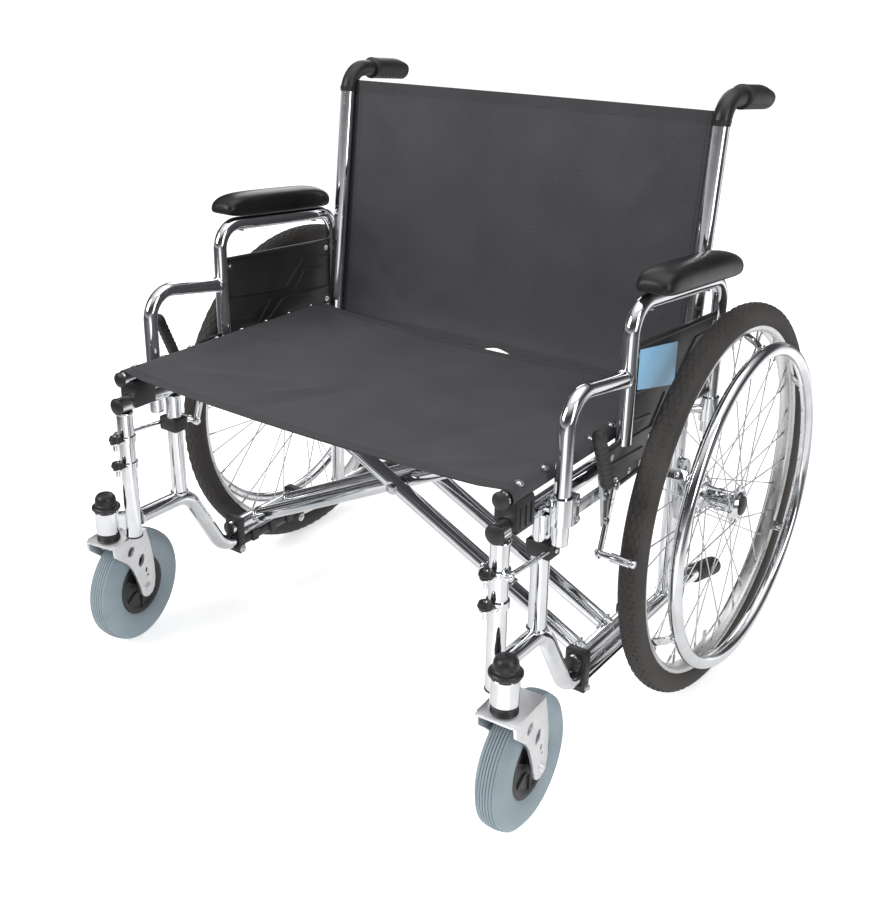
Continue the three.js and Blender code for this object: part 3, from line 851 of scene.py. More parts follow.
def axle_plate():
    ends = arc((AXLE_Y, AXLE_Z + 28), 22.5, 0, 180, 18) + arc(
        (AXLE_Y, AXLE_Z - 28), 22.5, 180, 360, 18,
    )
    plate = side_plate(ends, 358.2, 363.8, 0.8)
    holes = []
    for z in (-34, 34):
        clear()
        bpy.ops.mesh.primitive_cylinder_add(
            vertices=28, radius=0.0058, depth=0.02, location=mm(361, AXLE_Y, AXLE_Z + z), rotation=(
                0, math.pi / 2, 0,
            )
        )
        holes.append(bpy.context.object)
    plate = cut(plate, *holes)
    axle = turned(
        [(0, 358), (6, 358), (6, 461), (5, 462.5), (0, 462.5)], (0, AXLE_Y, AXLE_Z), (1, 0, 0), 28,
        whole=False,
    )
    nut = hex_bolt((364, AXLE_Y, AXLE_Z), (1, 0, 0), 11, 7)
    bolts = [hex_bolt((364, AXLE_Y + 6, AXLE_Z + z), (1, 0, 0), 6, 4.5) for z in (-18, 18)]
    return joined(plate, axle, nut, *bolts)


both_sides(axle_plate(), "axle_bracket", "{}_frame", zinc_steel, ["axle_plate"])

# %% [markdown]
# Each cross brace turns in a moulded clamp along the lower rail: a long trough on the rail's inner
# side and two blocks that hold the brace's pivot tube. A round-headed bolt holds each block.

# %% Cross-brace clamps
def brace_clamp():
    def sleeve_block(y0, y1):
        outline = [(FRAME_X - 17, 84), (FRAME_X + 17, 84), (FRAME_X + 17, 149)]
        outline += [(FRAME_X + 12, 150), (FRAME_X - 13, 150), (FRAME_X - 17, 149)]
        made = prism([(x, y0, z) for x, z in outline], (0, y1 - y0, 0), 1.2)
        bores = [
            tube((FRAME_X, y0 - 5, LOWER_Z), (FRAME_X, y1 + 5, LOWER_Z), TUBE + 0.2),
            tube((344, y0 - 5, 133), (344, y1 + 5, 133), TUBE + 0.6),
        ]
        return cut(made, *bores)

    trough = arc((FRAME_X, LOWER_Z), 15.6, 150, 330, 20) + arc(
        (FRAME_X, LOWER_Z), 13.0, 330, 150, 20,
    )
    parts = [prism([(x, -150.5, z) for x, z in trough], (0, 170.5, 0), 0.4)]
    parts += [sleeve_block(-150.5, -136.5), sleeve_block(4, 20)]
    parts += [block(326.6, 331, y, y + 16, 96, 117, 1.2) for y in (-118, -72, -28)]
    return joined(*parts)


both_sides(
    brace_clamp(), "brace_clamp", "{}_frame", black_plastic, ["brace_saddle"],
)
clamp_bolts = [dome_bolt((328, y, 92), (-1, 0, 0), 5, 3.2) for y in (-143.5, 12)]
clamp_bolts += [hex_bolt((362, y, 92), (1, 0, 0), 4.5, 3.5) for y in (-143.5, 12)]
both_sides(joined(*clamp_bolts), "brace_clamp_bolts", "{}_frame", zinc_steel)

# %% [markdown]
# With the leg rests off, the front post shows what they hang on: two chromed clamps, each with an
# upright pin, black friction washers, and a rod that runs back to a moulded block on the middle post.

# %% Leg-rest hanger hardware
def post_band(z, height):
    return turned(
        [(12.9, 0), (15.2, 0), (15.2, height), (12.9, height)], (FRAME_X, FRONT_POST_Y, z),
        (0, 0, 1), 32,
    )


hanger_metal = [post_band(327, 10), post_band(371, 10)]
for z, reach in ((332, -24), (376, -25)):
    tongue = arc((345 - 3, FRONT_POST_Y + reach), 8, 180, 360, 12)
    outline = [(352, FRONT_POST_Y - 10), (334, FRONT_POST_Y - 10)] + tongue
    hanger_metal.append(prism([(x, y, z - 2) for x, y in outline], (0, 0, 4), 0.8))
    pin = turned(
        [(0, -13), (3.6, -13), (3.6, 11), (2.4, 13.5), (0, 14)], (342, FRONT_POST_Y + reach, z),
        (0, 0, 1), 20, whole=False,
    )
    hanger_metal.append(pin)
hanger_metal.append(tube((362, FRONT_POST_Y - 6, 377), (362, MID_POST_Y - 12, 371), 3.4, 16))
hanger_metal.append(block(352, 365, FRONT_POST_Y - 12, FRONT_POST_Y + 6, 373, 380, 1.2))
hanger_metal.append(dome_bolt((365, FRONT_POST_Y - 3, 376.5), (1, 0, 0), 4.5, 3.5))
hanger_metal.append(dome_bolt((351, FRONT_POST_Y - 13, 332), (0.3, -1, 0), 4, 3.5))
hanger_metal.append(dome_bolt((366.5, MID_POST_Y + 2, 368), (1, 0, 0), 3.4, 2.6))
both_sides(joined(*hanger_metal), "hanger_hardware", "{}_frame", chrome)

hanger_black = [
    turned(
        [(3.8, 0), (9.5, 0), (10.2, 2), (8.4, 7), (3.8, 8)], (342, FRONT_POST_Y - 24, z), (0, 0, 1),
        28,
    )
    for z in (336, 380)
]
rest_block = block(329, 366, MID_POST_Y - 14, MID_POST_Y + 14, 358, 381, 2.4)
rest_block = cut(
    rest_block, tube((FRAME_X, MID_POST_Y, 350), (FRAME_X, MID_POST_Y, 390), TUBE + 0.1),
)
both_sides(
    joined(rest_block, *hanger_black), "hanger_pads", "{}_frame", black_plastic,
)

# %% [markdown]
# ## Arms
# A detachable arm is two bent tubes welded together, a foam pad screwed on top, and a moulded guard that
# keeps clothes off the wheel. It stands in two sockets on the frame and lifts straight out.

# %% Arm tubes
ARM_TOP = (-115, 662.7)
ARM_BACK = (ARM_REAR_Y, 638)
arm_loop = bent_tube(
    [(ARM_X, ARM_TOP[0], 470), (ARM_X, *ARM_TOP), (ARM_X, *ARM_BACK), (ARM_X, ARM_REAR_Y, 396)], [
        38, 38,
    ], SMALL_TUBE
)
desk_bar = bent_tube(
    [(ARM_X, -117, 563.3), (ARM_X, ARM_FRONT_Y, 587), (ARM_X, ARM_FRONT_Y, 386)], [42], SMALL_TUBE,
)
desk_weld = weld((ARM_X, -126, 564.7), (0, 1, -0.15), SMALL_TUBE + 0.5)
both_sides(
    joined(arm_loop, desk_bar, desk_weld), "arm_tubes", "arm_{}", chrome, ["arm_frame"],
)
arm_plugs = joined(
    end_plug((ARM_X, ARM_FRONT_Y, 386), (0, 0, -1), SMALL_TUBE - 1.2, 2.2),
    end_plug((ARM_X, ARM_REAR_Y, 397), (0, 0, -1), SMALL_TUBE - 1.2, 2.2),
)
both_sides(arm_plugs, "arm_plugs", "arm_{}", black_plastic, smooth=30)

# %% [markdown]
# The pad is self-skinned foam: flat underneath, crowned on top, with a rounded nose. It grows from one
# cross-section that is extruded down the length, swelling at the nose and drawing in at the tail, and
# Subdivision Surface rounds what is between. It is moulded in one go, so there is no sewing to simulate.

# %% Arm pads
PAD_FRONT_Y = -100
PAD_THICK = 38
ARM_SLOPE = math.atan2(ARM_BACK[1] - ARM_TOP[1], ARM_BACK[0] - ARM_TOP[0])
PAD_X = 390


def arm_pad():
    half, thick = 28, PAD_THICK
    section = [
        (-24, 0.6), (-14, 0), (14, 0), (24, 0.6), (half, 6), (half + 1, 17), (26.5, 28), (18, 35.6),
    ]
    section += [(0, thick), (-18, 35.6), (-26.5, 28), (-half - 1, 17), (-half, 6)]
    stations = [
        (0.5, 0.58, 0.26, 5.5), (3, 0.76, 0.48, 3.6), (10, 0.91, 0.70, 1.6), (24, 0.99, 0.90, 0.2),
        (50, 1.0, 0.985, 0),
    ]
    stations += [
        (100, 0.985, 1.0, 0), (150, 0.975, 1.0, 0), (200, 0.975, 1.0, 0), (228, 0.965, 0.95, 0),
    ]
    stations += [(246, 0.91, 0.82, 0.4), (257, 0.79, 0.62, 1.6), (261.5, 0.60, 0.40, 3.6)]
    y, wide, tall, lift = stations[0]
    draw_line([mm(x * wide, y, z * tall + lift) for x, z in [*section, section[0]]])
    bpy.ops.mesh.remove_doubles(threshold=1e-6)
    bpy.ops.mesh.select_all(action="SELECT")
    bpy.ops.mesh.edge_face_add()
    for before, after in zip(stations, stations[1:]):
        move = mm(0, after[0] - before[0], after[3] - before[3])
        bpy.ops.mesh.extrude_region_move(TRANSFORM_OT_translate={"value": move})
        size = (after[1] / before[1], 1, after[2] / before[2])
        bpy.ops.transform.resize(value=size, center_override=mm(0, after[0], after[3]))
    pad = leave()
    pad = apply_modifier(pad, "SUBSURF", levels=3, render_levels=3)
    pad.rotation_euler.x = ARM_SLOPE
    foot_z = ARM_TOP[1] + (PAD_FRONT_Y - ARM_TOP[0]) * math.tan(ARM_SLOPE) + SMALL_TUBE + 1.6
    pad.location = mm(PAD_X, PAD_FRONT_Y, foot_z)
    return pad


both_sides(
    arm_pad(), "arm_pad_cover", "arm_{}", glossy_vinyl, ["arm_pad"], smooth=60,
)

pad_screws = []
screw_profile = [(0, -13), (4.4, -13), (4.4, -11.6), (2.5, -11), (2.5, 15), (0, 15)]
for y in (-62, 122):
    z = ARM_TOP[1] + (y - ARM_TOP[0]) * math.tan(ARM_SLOPE)
    pad_screws.append(turned(screw_profile, (ARM_X, y, z), (0, 0.086, 0.996), 20, whole=False))
both_sides(joined(*pad_screws), "pad_screws", "arm_{}", zinc_steel)

# %% [markdown]
# The guard is a thin moulded sheet with a raised border and lightning-shaped ribs on both faces, and a
# foot that reaches forward under the desk bar. The ribs are flattened bent tube set into the sheet.

# %% Skirt guards
def guard_rib(line, face):
    corners = [(0, y, z) for y, z in line]
    rib = bent_tube(corners, [7] * (len(corners) - 2), 2.3, 10, step=15)
    rib.scale.x = 0.75
    rib.location.x = face / 1000
    return rib


def skirt_guard():
    outline = [(-103.4, 606), (-103.4, 469), (-127.3, 469), (-127.3, 480), (-173, 478), (-173, 432)]
    outline += [(-132, 408), (-50, 410), (-40, 462), (159.4, 462), (159.4, 590)]
    parts = [side_plate(outline, 373.9, 378.1, 0.8)]
    lines = [
        [(-101, 538), (6, 526), (40, 525), (90, 568), (128, 566), (157, 556)],
        [(60, 514), (90, 545), (136, 542)],
        [(-101, 497), (-42, 490)],
        [(-38, 470), (-1, 511)],
        [(-20, 467), (30, 505), (157, 501)],
        [(-101, 602), (40, 593), (157, 586)],
        [(-101, 472), (157, 466)],
    ]
    for face in (373.6, 378.4):
        parts += [guard_rib(line, face) for line in lines]
    foot_ribs = [
        [(-168, 472), (-130, 474)], [(-168, 436), (-131, 413), (-56, 415)],
        [(-160, 452), (-60, 446)],
    ]
    for face in (373.8, 378.2):
        parts += [guard_rib(line, face) for line in foot_ribs]
    return joined(*parts)


both_sides(
    skirt_guard(), "skirt_guard_sheet", "arm_{}", black_plastic, ["skirt_guard"],
)
guard_screws = []
for y, z in ((-150, 462), (-96, 424), (-64, 424), (-96, 590), (150, 575), (150, 478)):
    guard_screws += [
        dome_bolt((378.1, y, z), (1, 0, 0), 3.2, 2.2),
        dome_bolt((373.9, y, z), (-1, 0, 0), 3.2, 2.2),
    ]
both_sides(joined(*guard_screws), "guard_screws", "arm_{}", zinc_steel)

label = prism(
    [(379.2, -93, 598), (379.2, -93, 541), (379.2, 25, 515), (379.2, 25, 579)], (1.0, 0, 0), 0.4,
)
finish(label, "guard_label", "arm_left", label_blue)

# %% [markdown]
# ## Wheel locks
# A clamp on the upper rail carries a bar with two pivots. The hand lever turns on the front one, the
# shoe on the rear one. Small parts read as real when each has its own bolt heads and rounded edges.

# %% Wheel locks
LEVER_AT = (-190, 425)
SHOE_PIVOT = (-152, 425)
SHOE_AT = (-182, 335)

lock_metal = [
    side_plate([(-259, 404), (-241, 404), (-241, 446), (-259, 446)], 358.3, 384, 2.0, 3),
    side_plate(
        [(-242, 418), (-150, 416)] + arc((-147, 425), 8.6, -90, 90, 12) + [(-242, 434)], 379, 384,
        0.8,
    ),
    turned(
        [(0, 0), (3.4, 0), (3.4, 10), (5.6, 10), (5.6, 13), (0, 13.6)], (383, *LEVER_AT), (1, 0, 0),
        24, whole=False,
    ),
    turned(
        [(0, 0), (3.4, 0), (3.4, 6), (5.6, 6), (5.6, 8.6), (0, 9.2)], (383, *SHOE_PIVOT), (1, 0, 0),
        24, whole=False,
    ),
]
lock_metal += [hex_bolt((384, -250, z), (1, 0, 0), 4.4, 3) for z in (414, 436)]
both_sides(joined(*lock_metal), "lock_clamp", "{}_frame", zinc_steel, ["brake_clamp"])

lever_outline = [
    (-193, 382), (-191, 379.5), (-181, 379.5), (-179, 382), (-181, 425), (-195, 458), (-197, 462),
]
lever_outline += [(-208, 462), (-209, 458), (-199, 425)]
lever_hole = tube((386, *LEVER_AT), (398, *LEVER_AT), 3.8, 20)
lever_bar = cut(side_plate(lever_outline, 389, 394, 0.8), lever_hole)
lever_foot = turned(
    [(0, 0), (5, 0), (5, 3), (3, 4), (0, 4)], (393.8, -186, 388), (1, 0, 0), 20, whole=False,
)
both_sides(
    joined(lever_bar, lever_foot), "lock_lever", "brake_lever_{}", zinc_steel,
    ["brake_lever"],
)

lever_run = Vector((0, -34, 80)).normalized()
grip_rings = [(0, -4), (7.4, -4), (9.2, -1)]
for rib in range(8):
    grip_rings += [(9.2, 4 + rib * 9), (8.5, 6 + rib * 9), (8.5, 8 + rib * 9), (9.2, 10 + rib * 9)]
grip_rings += [(9.2, 82), (8.0, 88), (5.0, 91.2), (0, 92)]
lever_grip = turned(grip_rings, (401, -203, 450), lever_run, 32, whole=False)
both_sides(lever_grip, "lock_lever_grip", "brake_lever_{}", grip_rubber, smooth=50)

shoe_y, shoe_z = SHOE_AT
link_outline = arc(SHOE_PIVOT, 8, -15, 165, 14) + arc(SHOE_AT, 7, 165, 345, 14)
shoe_hole = tube((380, *SHOE_PIVOT), (392, *SHOE_PIVOT), 3.8, 20)
link = cut(side_plate(link_outline, 385, 388, 0.6), shoe_hole)
rod_profile = [
    (0, 385.5), (4.6, 385.5), (4.6, 433), (5.6, 434.5), (5.9, 436.5), (5.0, 438.4), (0, 439),
]
shoe_rod = turned(rod_profile, (0, shoe_y, shoe_z), (1, 0, 0), 28, whole=False)
shoe_sleeve = turned(
    [(4.7, 404), (6.4, 404), (6.4, 431), (4.7, 431)], (0, shoe_y, shoe_z), (1, 0, 0), 28,
)
shoe_nut = hex_bolt((384.5, shoe_y, shoe_z), (-1, 0, 0), 5, 3.5)
both_sides(
    joined(link, shoe_rod, shoe_sleeve, shoe_nut), "lock_shoe", "brake_shoe_{}", chrome,
    ["brake_shoe"],
)

# %% [markdown]
# ## Casters
# Each caster hangs from a chromed housing welded beside the front post. The housing and its dust cap stay
# with the frame. The fork, tyre and core are drawn pointing straight back and then turned by the angle
# that each caster has swung to.

# %% Caster housings and dust caps
STEM = (377, -394.5)
housing_profile = [(9.6, 213), (17.5, 213), (19, 214.5), (19, 250.5), (17.5, 252), (9.6, 252)]
housing = turned(housing_profile, (*STEM, 0), (0, 0, 1), 40)
bridge_turn = math.atan2(STEM[1] - FRONT_POST_Y, STEM[0] - FRAME_X)
bridge = block(-17, 17, -4, 4, 216, 248, 1.2)
bridge.rotation_euler.z = bridge_turn
bridge.location = mm((FRAME_X + STEM[0]) / 2, (FRONT_POST_Y + STEM[1]) / 2, 0)
bridge = cut(
    settle(bridge),
    tube((FRAME_X, FRONT_POST_Y, 200), (FRAME_X, FRONT_POST_Y, 260), TUBE + 0.05),
    tube((*STEM, 205), (*STEM, 256), 17),
)
both_sides(
    joined(housing, bridge), "housing_shell", "{}_frame", chrome, ["caster_housing"],
)

cap_profile = [
    (0, 252.3), (18, 252.3), (20, 253.2), (22.4, 256), (22.4, 259), (20.6, 261), (18.4, 261.4),
    (18, 264),
]
cap_profile += [
    (17.0, 265.2), (16.4, 272), (15.2, 276), (12.4, 279.2), (8, 280.8), (3, 281.2), (0, 281.2),
]
cap = turned(cap_profile, (*STEM, 0), (0, 0, 1), 48, whole=False)
cap_rib = block(21.6, 22.6, -0.8, 0.8, 255.4, 259.8, 0.3, 1)
cap_rib.location = mm(*STEM, 0)
cap_ribs = ring_of(settle(cap_rib), 30, (*STEM, 0), (0, 0, 1))
both_sides(
    joined(cap, cap_ribs), "dust_cap", "{}_frame", black_plastic, ["caster_cap"],
    smooth=28,
)

# %% [markdown]
# The fork is one pressed plate: a crown folded down into two curved legs, each with two slots and two
# small holes. The slots are cut with Boolean modifiers, and the edge is bevelled after.

# %% Caster forks
CROWN_Z = 195.5
TRAIL = 50
CASTER_R = 95
LEG_IN = 25.3


def oval_cutter(y, z, long_r, short_r, tilt):
    clear()
    bpy.ops.mesh.primitive_cylinder_add(vertices=28, radius=0.001, depth=0.1)
    tool = bpy.context.object
    tool.scale = (short_r, long_r, 1)
    bpy.ops.object.transform_apply(scale=True)
    tool.rotation_euler = (0, math.pi / 2, 0)
    bpy.ops.object.transform_apply(rotation=True)
    tool.rotation_euler.x = tilt
    tool.location = mm(0, y, z)
    return settle(tool)


def caster_fork():
    front = [
        (-22, 197), (-20, 181), (-8, 170), (6, 158), (17, 142), (25, 122), (31, 104), (35, 88),
        (40, 81),
    ]
    back = [(50, 77.5), (60, 81), (66, 90), (69, 104), (69.5, 126), (67, 150), (62, 176), (56, 197)]
    legs = []
    for x0, x1 in ((-LEG_IN - 4.5, -LEG_IN), (LEG_IN, LEG_IN + 4.5)):
        legs.append(side_plate(front + back, x0, x1, 0))
    slots = [
        oval_cutter(16, 176, 9.0, 6.6, 0.75),
        oval_cutter(39, 150, 11.0, 6.4, 1.15),
        oval_cutter(49, 128, 4.6, 2.4, 1.4),
        oval_cutter(52, 117, 2.4, 2.2, 0),
    ]
    body = bevelled(cut(joined(*legs), *slots), 0.7)
    crown_outline = [(-29.8, -18), (-24, -24), (24, -24), (29.8, -18), (29.8, 57), (-29.8, 57)]
    crown = prism([(x, y, CROWN_Z) for x, y in crown_outline], (0, 0, 5), 0.9)
    stem = turned(
        [(0, 199), (8.4, 199), (8.4, 250), (7.4, 251), (0, 251)], axis=(0, 0, 1), steps=28,
        whole=False,
    )
    axle = turned(
        [(0, -31), (6, -31), (6, 31), (0, 31)], (0, TRAIL, CASTER_R), (1, 0, 0), 24, whole=False,
    )
    heads = [hex_bolt((side * 29.6, TRAIL, CASTER_R), (side, 0, 0), 6.4, 4) for side in (-1, 1)]
    return joined(body, crown, stem, axle, *heads)


def bearing_collar():
    rings = [
        (8.6, 200.6), (17.4, 200.6), (18.6, 202.4), (17.2, 204.4), (18.4, 206.4), (17.2, 208.4),
        (17.8, 212.4), (8.6, 212.4),
    ]
    return turned(rings, axis=(0, 0, 1), steps=40)


# %% [markdown]
# The caster tyre is grey rubber with fine grooves round its crown, so its profile alone does the work.
# The core is black plastic with a dished face, a boss in the middle and six ribs.

# %% Caster tyres and cores
def symmetric(half):
    """A closed profile from the points of one half, in (radius, offset) pairs."""
    return half + [(radius, -offset) for radius, offset in reversed(half)]


def caster_tyre():
    half = 22
    profile = [
        (50, half - 6), (50, -half + 6), (54, -half + 3.4), (62, -half + 1), (76, -half),
        (84, -half + 2.4),
    ]
    profile += [(89.5, -half + 6)]
    for groove in range(-3, 4):
        x = groove * 4.1
        crown = 95 - 0.013 * x * x
        profile += [
            (crown, x - 1.5), (crown, x + 1.3), (crown - 1.5, x + 1.7), (crown - 1.5, x + 2.5),
        ]
    profile = profile[:-2]
    profile += [(89.5, half - 6), (84, half - 2.4), (76, half), (62, half - 1), (54, half - 3.4)]
    return turned(profile, (0, TRAIL, CASTER_R), (1, 0, 0), 96)


def caster_core():
    half = 22
    profile = symmetric(
        [
            (6.3, -half - 1), (12, -half - 1), (13.5, -half + 1), (15, -half + 7), (19, -half + 9),
            (38, -half + 8.4), (42, -half + 5.4), (46, -half + 4.6), (49.6, -half + 6),
        ]
    )
    disc = turned(profile, (0, TRAIL, CASTER_R), (1, 0, 0), 64)
    rib = block(
        -half + 5.6, half - 5.6, TRAIL - 1.6, TRAIL + 1.6, CASTER_R + 13, CASTER_R + 41, 0.8, 2,
    )
    return joined(disc, ring_of(rib, 6, (0, TRAIL, CASTER_R)))


def place_caster(piece, side):
    """Turns a caster piece to its swung angle and sets it under its own housing."""
    sign, yaw = (1, 2.8) if side == "left" else (-1, 8.8)
    pick(piece)
    piece.rotation_euler.z = math.radians(yaw)
    piece.location = mm(sign * STEM[0], STEM[1], 0)
    return piece


caster_parts = (
    (caster_fork, "caster_fork", "caster_swivel_{}", fork_steel, "chrome", ["caster_fork"]),
    (bearing_collar, "caster_collar", "caster_swivel_{}", black_plastic, "black_plastic", []),
    (caster_tyre, "caster_tyre", "caster_wheel_{}", caster_rubber, "grey_tyre", ["caster_tyre"]),
    (
        caster_core, "caster_core", "caster_wheel_{}", black_plastic, "black_plastic",
        ["caster_core"],
    ),
)
for make, name, body, material, slot, nodes in caster_parts:
    first = settle(make())
    for side, piece in (("left", first), ("right", copied(first))):
        named = [f"{n}_{side}" for n in nodes]
        placed = place_caster(piece, side)
        finish(placed, f"{name}_piece_{side}", body.format(side), material, named, 35)

# %% [markdown]
# ## Rear wheels
# A spoked wheel is drawn as the wheel builder makes it: a turned hub and rim, four spokes laced by hand,
# and then the same four repeated nine times round. The tyre's tread is a ring of small raised blocks.

# %% Tyre and rim
WHEEL_X = 423
WHEEL_AT = (WHEEL_X, AXLE_Y, AXLE_Z)


def wheel_tyre():
    profile = symmetric(
        [
            (272.2, -11.6), (275, -14.8), (280, -17.6), (287, -18.6), (293.5, -18.1),
            (297.5, -15.6),
            (300.2, -12.4), (302.2, -8.6), (303.4, -4.6), (303.8, -1.0),
        ]
    )
    tyre = turned(profile, WHEEL_AT, (1, 0, 0), 180)
    edit()
    bpy.ops.mesh.normals_make_consistent(inside=False)
    leave()
    centre = mm(*WHEEL_AT)

    def tread_block(middle):
        off = middle - centre
        turn = round(math.atan2(off.z, off.y) / math.tau * 180 - 0.5)
        row = round((off.x * 1000 + 10.5) / 4)
        on_crown = math.hypot(off.y, off.z) > 0.2998 and abs(off.x) > 0.002
        return on_crown and (turn + row) % 2 == 0

    pick_faces(tyre, tread_block)
    bpy.ops.mesh.inset(use_individual=True, thickness=0.0007, depth=0.0011)
    drop_faces()
    return tyre


def wheel_rim():
    profile = symmetric(
        [
            (262, -6.5), (263.2, -9.4), (266.5, -12.2), (271.6, -12.5), (272.6, -11.4),
            (271.0, -10.6),
        ]
    )
    rim = turned(profile, WHEEL_AT, (1, 0, 0), 144)
    valve = turned(
        [(0, 0), (3.2, 0), (3.2, 14), (2.6, 16), (2.6, 30), (0, 31)],
        (WHEEL_X, AXLE_Y, AXLE_Z - 262.4), (0, 0, 1), 18, whole=False,
    )
    return joined(rim, valve)


both_sides(wheel_tyre(), "rear_tyre", "wheel_{}", tyre_rubber, ["wheel_tyre"], smooth=30)
both_sides(wheel_rim(), "rear_rim", "wheel_{}", satin_alloy, ["wheel_rim"], smooth=30)

# %% Hub and spokes
FLANGE_R = 30


def wheel_point(radius, angle, x):
    return (WHEEL_X + x, AXLE_Y + radius * math.cos(angle), AXLE_Z + radius * math.sin(angle))


def spokes():
    four = []
    for k in range(4):
        side = 1 if k % 2 else -1
        lean = 1 if k // 2 % 2 else -1
        outer = math.tau * (k + 0.5) / 36
        inner = outer + lean * 1.2
        foot = wheel_point(FLANGE_R - 3.4, inner, side * (28 + lean * 1.9))
        tip = wheel_point(261.5, outer, side * (3.4 + lean * 1.2))
        four.append(tube(foot, tip, 1.05, 8))
        away = (Vector(tip) - Vector(foot)).normalized()
        nipple = [(0, -14), (1.5, -14), (1.9, -12.5), (1.9, 0.6), (0, 0.6)]
        four.append(turned(nipple, tip, away, 10, whole=False))
        four.append(dome_bolt(foot, (side * lean, 0, 0), 2.0, 1.4))
    return ring_of(joined(*four), 9, WHEEL_AT)


def hub():
    shell = [
        (6.5, 35.5), (6.5, -31.5), (17, -31.5), (19, -30.2), (22, -29.6), (28.5, -29.5),
        (30, -28.6), (30, -27.2),
    ]
    shell += [
        (28.5, -26.4), (21, -26), (18.2, -23), (16.6, -16), (16.2, 0), (16.6, 16), (18.2, 23),
        (21, 26), (28.5, 26.4),
    ]
    shell += [(30, 27.2), (30, 28.6), (28.5, 29.5), (22, 29.6), (19.5, 31), (18, 34), (16, 35.5)]
    body = turned(shell, WHEEL_AT, (1, 0, 0), 72)
    band = turned([(16.4, -4), (17.6, -3), (17.6, 3), (16.4, 4)], WHEEL_AT, (1, 0, 0), 48)
    return joined(body, band)


both_sides(hub(), "hub_shell", "wheel_{}", chrome, ["wheel_hub"])
both_sides(spokes(), "spokes", "wheel_{}", spoke_steel, smooth=50)
cap_rings = [(0, 40.4), (9, 40.2), (13.6, 38.6), (15.4, 35.6), (15.8, 30), (15.8, 28), (0, 28)]
hub_cap = turned(cap_rings, WHEEL_AT, (1, 0, 0), 40, whole=False)
both_sides(hub_cap, "hub_cap", "wheel_{}", black_plastic)

# %% [markdown]
# The hand rim is a plain ring of bent tube, held off the wheel's rim by six folded steel tabs. A tab is
# an outline that is extruded sideways, with a bolt at the wheel end, repeated six times round.

# %% Hand rims
HAND_RIM_R = 243
HAND_RIM_OUT = 43.3


def hand_rim():
    ring_profile = [(HAND_RIM_R + r, HAND_RIM_OUT + x) for r, x in arc((0, 0), 10, 0, 345, 23)]
    ring = turned(ring_profile, WHEEL_AT, (1, 0, 0), 144)
    inner, outer = HAND_RIM_R + 6.5, 266.4
    tab_line = [(inner, HAND_RIM_OUT - 5), (inner + 9, HAND_RIM_OUT - 14), (outer + 1.2, 13.2)]
    back = [
        (outer - 2.6, 11.6), (inner + 6, HAND_RIM_OUT - 16.4), (inner - 2.4, HAND_RIM_OUT - 7.6),
    ]
    outline = [(WHEEL_X + x, AXLE_Y - 8, AXLE_Z + r) for r, x in tab_line + back]
    tab = prism(outline, (0, 16, 0), 0.8)
    bolts = [
        dome_bolt((WHEEL_X + 23.6, AXLE_Y, AXLE_Z + 259.6), (1, 0, 0.72), 4.2, 3.0),
        weld((WHEEL_X + HAND_RIM_OUT - 7.4, AXLE_Y, AXLE_Z + inner + 0.6), (1, 0, -0.8), 6.4, 1.5),
    ]
    tabs = ring_of(joined(tab, *bolts), 6, WHEEL_AT)
    return joined(ring, tabs)


both_sides(hand_rim(), "hand_rim_ring", "wheel_{}", chrome, ["hand_rim"])

# %% [markdown]
# ## The fold
# Two braces cross under the seat. Each is welded to a pivot tube at its foot and carries a seat rail at
# its far top, so when the braces close like scissors the rails rise and the side frames draw together.

# %% Cross braces
PIVOT_X = 344
PIVOT_Z = 133
CROSS_Z = PIVOT_Z + (SEAT_Z - PIVOT_Z) * PIVOT_X / (PIVOT_X + FRAME_X)
BRACE_Y = {"a": (-123, -41), "b": (-95, -13)}


def climb(share, y):
    """A point that share of the way up brace A, from its pivot to the far seat rail."""
    return (PIVOT_X - share * (PIVOT_X + FRAME_X), y, PIVOT_Z + share * (SEAT_Z - PIVOT_Z))


def brace(ys):
    parts = [tube((PIVOT_X, -160, PIVOT_Z), (PIVOT_X, 27, PIVOT_Z), TUBE)]
    slope = Vector(climb(1, 0)) - Vector(climb(0, 0))
    for y in ys:
        parts.append(tube(climb(0.004, y), climb(0.983, y), TUBE))
        parts.append(weld(climb(0.02, y), slope, TUBE + 0.9, 1.8))
        parts.append(weld(climb(0.972, y), slope, TUBE + 0.6, 1.8))
    return joined(*parts)


finish(brace(BRACE_Y["a"]), "cross_brace_a", "brace_a", chrome, ["brace_a"])
brace_b_left = settle(brace(BRACE_Y["b"]))
brace_b_piece = mirrored(brace_b_left)
bpy.data.objects.remove(brace_b_left)
finish(brace_b_piece, "cross_brace_b", "brace_b", chrome, ["brace_b"])

for end, (near, far) in (("front", (-123, -95)), ("rear", (-41, -13))):
    shank = turned(
        [(0, near - 17), (5, near - 17), (5, far + 17), (0, far + 17)], (0, 0, CROSS_Z), (0, 1, 0),
        24, whole=False,
    )
    heads = [
        hex_bolt((0, near - TUBE - 0.4, CROSS_Z), (0, -1, 0), 8.4, 4.6),
        hex_bolt((0, far + TUBE + 0.4, CROSS_Z), (0, 1, 0), 8.4, 4.6),
        turned(
            [(5.2, near + 12.9), (11, near + 12.9), (11, far - 12.9), (5.2, far - 12.9)],
            (0, 0, CROSS_Z), (0, 1, 0), 28,
        ),
    ]
    finish(
        joined(shank, *heads), f"cross_bolts_{end}", "brace_a", zinc_steel,
        [f"cross_bolt_{end}"],
    )

# %% [markdown]
# A moulded sleeve on the front tube of brace A, between two bright rings, keeps the tube from rubbing
# where the folded chair's parts meet. The pivot tubes are stopped at each end with plugs.

